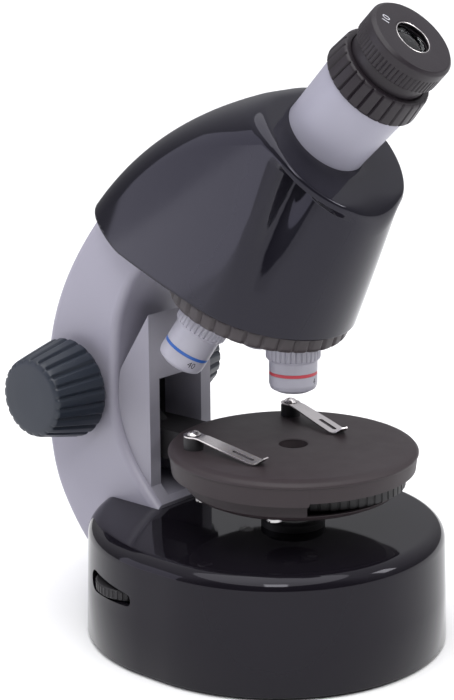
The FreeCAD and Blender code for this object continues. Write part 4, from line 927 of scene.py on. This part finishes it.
# Further distances at which the blade gets a row, beside those of its holes
CLIP_SPOTS = (-2.2, 2.0, 2.6, 3.4, 5.0, 12.0, 16.0, 23.0, 28.5, 29.0, 30.0, 30.5, 31.0, 32.2, CLIP_LEN)
CLIP_REST_TURN = {-1: 0.0, 1: -15.0}
CLIP_EDGE = 0.12
CLIP_EDGE_ANGLE = 40


def skirt_low(a):
    """Height of the skirt's lower edge: cut higher for the diaphragm wheel and the carrier's neck."""
    degrees = math.degrees(a)
    if degrees > 180:
        degrees -= 360
    if math.sin(a) > 0 and abs(SKIRT_R * math.cos(a)) < NECK_W:
        return STAGE_UNDER
    return WINDOW_LOW if WINDOW[0] < degrees < WINDOW[1] else SKIRT_LOW


def make_stage():
    """Plate and skirt in one ring of rows. A height of None follows the skirt's lower edge."""
    inner_r = SKIRT_R - SKIRT_T
    edge = [(STAGE_R - inward, STAGE_TOP - down) for inward, down in STAGE_RIM]
    wall_top = edge[0][1]
    edge += [(STAGE_HOLE_R + HOLE_EDGE[0], STAGE_TOP), (STAGE_HOLE_R, STAGE_TOP - HOLE_EDGE[1])]
    profile = [(STAGE_HOLE_R, STAGE_UNDER), (inner_r, STAGE_UNDER), (inner_r, None), (SKIRT_R, None)]
    profile += rounded(edge, RIM_ROUND, RIM_ROUND_STEPS)
    rows = []
    for radius, z in profile:
        row = []
        for j in range(STAGE_STEPS):
            a = 2 * math.pi * (j + 0.5) / STAGE_STEPS
            low = skirt_low(a)
            lean = (low - SKIRT_LOW) * (STAGE_R - SKIRT_R) / (wall_top - SKIRT_LOW)
            r = radius + (lean if z is None and radius == SKIRT_R else 0.0)
            row.append((r * math.cos(a), r * math.sin(a), low if z is None else z))
        rows.append(row)
    verts, faces = grid(rows + rows[:1])
    stage = piece("stage_skin", "stage", verts, faces, STAGE_BLACK)
    rings = [circle_outline(CLIP_HOLE_R, CLIP_HOLE_STEPS, x, CLIP_Y) for x in (-CLIP_X, CLIP_X)]
    carve(stage, [prism_cutter(ring, STAGE_UNDER + 1, STAGE_TOP + 1, Matrix()) for ring in rings])
    stand_for(stage, "stage_plate")


def clip_half_width(d):
    """Half width of the blade at a distance forward of its screw."""
    hub = math.sqrt(max(0.0, CLIP_HUB_R ** 2 - d * d))
    if d < 0:
        return hub
    if d < CLIP_WIDE:
        return max(hub, CLIP_ROOT_W + (CLIP_HALF_W - CLIP_ROOT_W) * d / CLIP_WIDE)
    if d < CLIP_LEN - CLIP_TAPER:
        return CLIP_HALF_W
    return CLIP_HALF_W + (CLIP_TIP_W - CLIP_HALF_W) * (d - CLIP_LEN + CLIP_TAPER) / CLIP_TAPER


def clip_hole(d):
    """Half width of the screw hole or of the slot near the tip."""
    if abs(d) <= CLIP_HOLE_R:
        return math.sqrt(CLIP_HOLE_R ** 2 - d * d)
    start, end, half = CLIP_SLOT
    beyond = max(start - d, d - end, 0.0)
    return math.sqrt(half * half - beyond * beyond) if beyond <= half else 0.0


def clip_height(d):
    """Height of the blade's underside at a distance forward of its screw."""
    for a, b in zip(CLIP_BENDS, CLIP_BENDS[1:]):
        if d <= b[0]:
            return a[1] + (b[1] - a[1]) * (d - a[0]) / (b[0] - a[0])
    return CLIP_BENDS[-1][1]


def make_clip(side):
    """Bent spring blade as a sheet, in rows across it, given its thickness afterwards."""
    start, end, half = CLIP_SLOT
    spots = [-CLIP_HUB_R * math.cos(math.pi * k / 20) for k in range(9)]
    spots += [CLIP_HOLE_R * math.sin(math.pi * k / 12) for k in range(-6, 7)]
    spots += [start - half * math.cos(math.pi * k / 10) for k in range(6)]
    spots += [end + half * math.sin(math.pi * k / 10) for k in range(6)]
    spots = sorted(set(round(d, 4) for d in (*spots, *CLIP_SPOTS)))
    rows = []
    for d in spots:
        outer, inner = clip_half_width(d), clip_hole(d)
        row = [-outer, -(outer + inner) / 2, -inner, inner, (outer + inner) / 2, outer]
        rows.append([(x, -d, clip_height(d)) for x in row])

    def open_here(i, j):
        return j == 2 and clip_hole((spots[i] + spots[i + 1]) / 2) > 0

    verts, faces = grid(rows, open_here, False)
    turn = Matrix.Rotation(math.radians(CLIP_REST_TURN[side]), 4, "Z")
    place = Matrix.Translation((side * CLIP_X, CLIP_Y, 0)) @ turn
    verts = [tuple(place @ Vector(v)) for v in verts]
    name = "clip_left" if side < 0 else "clip_right"
    clip = piece(name + "_skin", "left_clip" if side < 0 else "right_clip", verts, faces, CLIP_STEEL)
    if clip.data.polygons[0].normal.z < 0:
        clip.data.flip_normals()
    sheet = clip.modifiers.new("sheet", "SOLIDIFY")
    sheet.thickness = CLIP_T * MM
    sheet.offset = 1
    soften(clip, CLIP_EDGE, CLIP_EDGE_ANGLE).harden_normals = True
    stand_for(clip, name)


# Base

BASE_R = 62.7
BASE_FRONT_Y = 8.0
BASE_BACK_Y = 18.0
BASE_LOW = 1.2
BASE_MIDDLE = 20.0
BASE_TOP = 44.2
BASE_DRAFT = 1.4
BASE_EDGE = 5.5
BASE_WALL = 2.4
BASE_TOP_WALL = 2.6
BASE_STEPS = 360
BASE_EDGE_STEPS = 12
BASE_SMOOTH = 50.0
# Bevel at the foot, inward and upward, and the shares at which the top gets a row
FOOT_BEVEL = (0.35, 0.5)
TOP_SHARES = (0.3, 0.6, 0.9)
LAMP_HOLE_R = 9.65
# Room for the arm's foot: half width, from and to in y, from and to in z
NOTCH = (20.15, (47.6, 120.0), (13.0, 60.0))
# Slot of the dimmer wheel: (y, radius) of the circles at its ends, and their height
SLOT_BACK = (47.0, 3.9)
SLOT_FRONT = (25.8, 2.3)
SLOT_Z = 26.6
SLOT_STEPS = 24
SLOT_CUT = (-70.0, -20.0)
# Power inlet: radius, x and z
INLET = (4.65, 40.0, 14.0)
INLET_STEPS = 48
INLET_CUT = (40.0, 90.0)


def base_row(inset, z):
    """Outline of the base at a height, drawn in from the drafted wall."""
    r = BASE_R - BASE_DRAFT * z / BASE_TOP - inset
    row = []
    for j in range(BASE_STEPS):
        a = 2 * math.pi * j / BASE_STEPS
        y = (BASE_BACK_Y if j <= BASE_STEPS / 2 else BASE_FRONT_Y) + r * math.sin(a)
        if j in (0, BASE_STEPS // 2):
            y = (BASE_BACK_Y + BASE_FRONT_Y) / 2
        row.append(Vector((r * math.cos(a), y, z)))
    return row


def base_corner(inset, top, radius):
    """Rows round the top edge at a given inset."""
    turns = [math.pi / 2 * k / BASE_EDGE_STEPS for k in range(BASE_EDGE_STEPS + 1)]
    return [base_row(inset + radius * (1 - math.cos(a)), top - radius + radius * math.sin(a)) for a in turns]


def make_base():
    """Drafted shell in one ring of rows, then cut for the arm, the dimmer wheel and the inlet."""
    under = BASE_TOP - BASE_TOP_WALL
    hole = circle_outline(LAMP_HOLE_R, BASE_STEPS)
    up = [Vector((x, y, BASE_TOP)) for x, y in hole]
    down = [Vector((x, y, under)) for x, y in hole]
    inward, upward = FOOT_BEVEL
    outer = [base_row(inward, BASE_LOW), base_row(0.0, BASE_LOW + upward), base_row(0.0, BASE_MIDDLE)]
    outer += base_corner(0.0, BASE_TOP, BASE_EDGE)
    inner = base_corner(BASE_WALL, under, BASE_EDGE - BASE_WALL)[::-1] + [base_row(BASE_WALL, BASE_LOW)]
    rows = outer + [[p.lerp(q, t) for p, q in zip(outer[-1], up)] for t in TOP_SHARES]
    rows += [up, down] + inner
    verts, faces = grid([[tuple(p) for p in row] for row in rows + rows[:1]])
    base = piece("base_skin", "stand", verts, faces, GLOSS_BASE, BASE_SMOOTH)
    carve(base, [notch_cutter(), slot_cutter(), inlet_cutter()], BASE_SMOOTH)
    stand_for(base, "base_shell")


def notch_cutter():
    """Room for the arm's foot at the back."""
    half, (front, back), (low, high) = NOTCH
    return prism_cutter([(-half, front), (half, front), (half, back), (-half, back)], low, high, Matrix())


def slot_cutter():
    """Slot of the dimmer wheel: the hull of a large and a small circle in the left wall."""
    lean = math.asin((SLOT_BACK[1] - SLOT_FRONT[1]) / (SLOT_BACK[0] - SLOT_FRONT[0]))
    half = math.pi / 2 + lean
    outline = []
    arcs = ((SLOT_BACK, -half, 2 * half), (SLOT_FRONT, half, 2 * math.pi - 2 * half))
    for (y, radius), start, sweep in arcs:
        for k in range(SLOT_STEPS + 1):
            a = start + sweep * k / SLOT_STEPS
            outline.append((y + radius * math.cos(a), SLOT_Z + radius * math.sin(a)))
    sideways = Matrix(((0, 0, 1, 0), (1, 0, 0, 0), (0, 1, 0, 0), (0, 0, 0, 1)))
    return prism_cutter(outline, *SLOT_CUT, sideways)


def inlet_cutter():
    """Round hole for the power inlet in the back wall."""
    radius, x, z = INLET
    backwards = Matrix(((1, 0, 0, 0), (0, 0, 1, 0), (0, 1, 0, 0), (0, 0, 0, 1)))
    return prism_cutter(circle_outline(radius, INLET_STEPS, x, z), *INLET_CUT, backwards)


make_head()
make_eyepiece()
for NAME, (END, TURN) in OBJECTIVES.items():
    make_objective(NAME, END, TURN, RING_COLOUR[NAME])
make_turret()
for SIDE in (-1, 1):
    make_knob(SIDE)
    make_clip(SIDE)
make_stage()
make_base()


# Studio

FLOOR_REACH = 9.0
SUN_POWER = 2.4
SUN_SPREAD = math.radians(70)
SUN_AIM = (0.30, 0.18, -1.0)
# Area lights: name, place, target, size, power and colour
PANELS = (
    ("key_left", (-0.9, -0.75, 1.05), (0, 0, 0.12), (0.35, 0.45), 4.0, (1, 1, 1)),
    ("side_left", (-1.03, 0.97, 0.38), (0, 0, 0.2), (0.85, 0.75), 2.9, (0.86, 0.85, 1.0)),
    ("fill_right", (0.75, -1.1, 0.95), (0, 0, 0.12), (0.30, 0.45), 3.5, (1, 1, 1)),
)
# Camera fitted to the photo: angles, place, and focal length in the photo's pixels
CAMERA_AZIMUTH = math.radians(-49.21)
CAMERA_ELEVATION = math.radians(14.46)
CAMERA_ROLL = math.radians(-0.46)
CAMERA_PLACE = (-528.52, -425.04, 283.92)
FOCAL_PIXELS = 1975.07
PHOTO_HEIGHT = 700.0
SENSOR = 36.0
CLIP_START = 0.01
# The studio is bright overhead, dim at the horizon and dark behind the camera
WORLD_COLOUR = (0.96, 0.96, 1.0, 1)
WORLD_HEIGHT = (0.0, 0.9)
WORLD_STRENGTH = (0.28, 1.0)
DARK_SIDE = (-0.76, -0.65, 0.0)
DARK_EDGE = (0.25, 0.75)
DARK_SHARE = 0.12


def aim(obj, direction):
    """Turn a light so that it shines in a direction."""
    obj.rotation_euler = Vector(direction).to_track_quat("-Z", "Y").to_euler()


def area_light(name, place, target, size, power, color):
    data = bpy.data.lights.new(name, "AREA")
    data.shape = "RECTANGLE"
    data.size, data.size_y = size
    data.energy = power
    data.color = color
    light = bpy.data.objects.new(name, data)
    bpy.context.scene.collection.objects.link(light)
    light.location = place
    light.visible_camera = False
    aim(light, Vector(target) - Vector(place))


def make_floor():
    """A pale sweep that reaches past the picture's top edge."""
    mesh = bpy.data.meshes.new("floor")
    corners = [(x * FLOOR_REACH, y * FLOOR_REACH, 0) for x, y in ((-1, -1), (1, -1), (1, 1), (-1, 1))]
    mesh.from_pydata(corners, [], [(0, 1, 2, 3)])
    floor = bpy.data.objects.new("floor", mesh)
    bpy.context.scene.collection.objects.link(floor)
    mesh.materials.append(surface("floor_white", (0.90, 0.90, 0.90), 0.6, tint=0.005, grain=40.0, bump=0.0,
                                  specular=0.2))


def make_sun():
    """Broad even light from the upper left, as from a large soft box."""
    data = bpy.data.lights.new("sky_panel", "SUN")
    data.energy = SUN_POWER
    data.angle = SUN_SPREAD
    sun = bpy.data.objects.new("sky_panel", data)
    bpy.context.scene.collection.objects.link(sun)
    aim(sun, SUN_AIM)


def make_camera():
    """The camera fitted to the photo. Its sensor is laid along the picture's longer side."""
    forward = Vector((-math.sin(CAMERA_AZIMUTH) * math.cos(CAMERA_ELEVATION),
                      math.cos(CAMERA_AZIMUTH) * math.cos(CAMERA_ELEVATION), -math.sin(CAMERA_ELEVATION)))
    right = forward.cross(Vector((0, 0, 1))).normalized()
    up = right.cross(forward)
    cos, sin = math.cos(CAMERA_ROLL), math.sin(CAMERA_ROLL)
    tilted_right = right * cos + up * sin
    tilted_up = up * cos - right * sin
    data = bpy.data.cameras.new("camera")
    data.sensor_width = SENSOR
    data.lens = FOCAL_PIXELS / PHOTO_HEIGHT * SENSOR
    data.clip_start = CLIP_START
    camera = bpy.data.objects.new("camera", data)
    bpy.context.scene.collection.objects.link(camera)
    turn = Matrix((tilted_right, tilted_up, -forward)).transposed()
    camera.matrix_world = Matrix.Translation(at(*CAMERA_PLACE)) @ turn.to_4x4()
    bpy.context.scene.camera = camera


def make_world():
    world = bpy.data.worlds.new("studio")
    bpy.context.scene.world = world
    bpy.context.scene.view_settings.view_transform = "Standard"
    world.use_nodes = True
    tree = world.node_tree
    background = tree.nodes["Background"]
    background.inputs["Color"].default_value = WORLD_COLOUR
    coords = tree.nodes.new("ShaderNodeTexCoord")
    split = tree.nodes.new("ShaderNodeSeparateXYZ")
    tree.links.new(coords.outputs["Generated"], split.inputs["Vector"])
    height = add_step(tree, split.outputs["Z"], WORLD_HEIGHT, WORLD_STRENGTH)
    towards = tree.nodes.new("ShaderNodeVectorMath")
    towards.operation = "DOT_PRODUCT"
    towards.inputs[1].default_value = DARK_SIDE
    tree.links.new(coords.outputs["Generated"], towards.inputs[0])
    side = add_step(tree, towards.outputs["Value"], DARK_EDGE, (1.0, DARK_SHARE))
    product = tree.nodes.new("ShaderNodeMath")
    product.operation = "MULTIPLY"
    tree.links.new(height.outputs["Result"], product.inputs[0])
    tree.links.new(side.outputs["Result"], product.inputs[1])
    tree.links.new(product.outputs["Value"], background.inputs["Strength"])


def add_step(tree, source, span, values):
    """Smooth change from one value to another while the source runs over a span."""
    step = tree.nodes.new("ShaderNodeMapRange")
    step.interpolation_type = "SMOOTHSTEP"
    step.inputs["From Min"].default_value, step.inputs["From Max"].default_value = span
    step.inputs["To Min"].default_value, step.inputs["To Max"].default_value = values
    tree.links.new(source, step.inputs["Value"])
    return step


make_floor()
make_camera()
make_world()
make_sun()
for PANEL in PANELS:
    area_light(*PANEL)
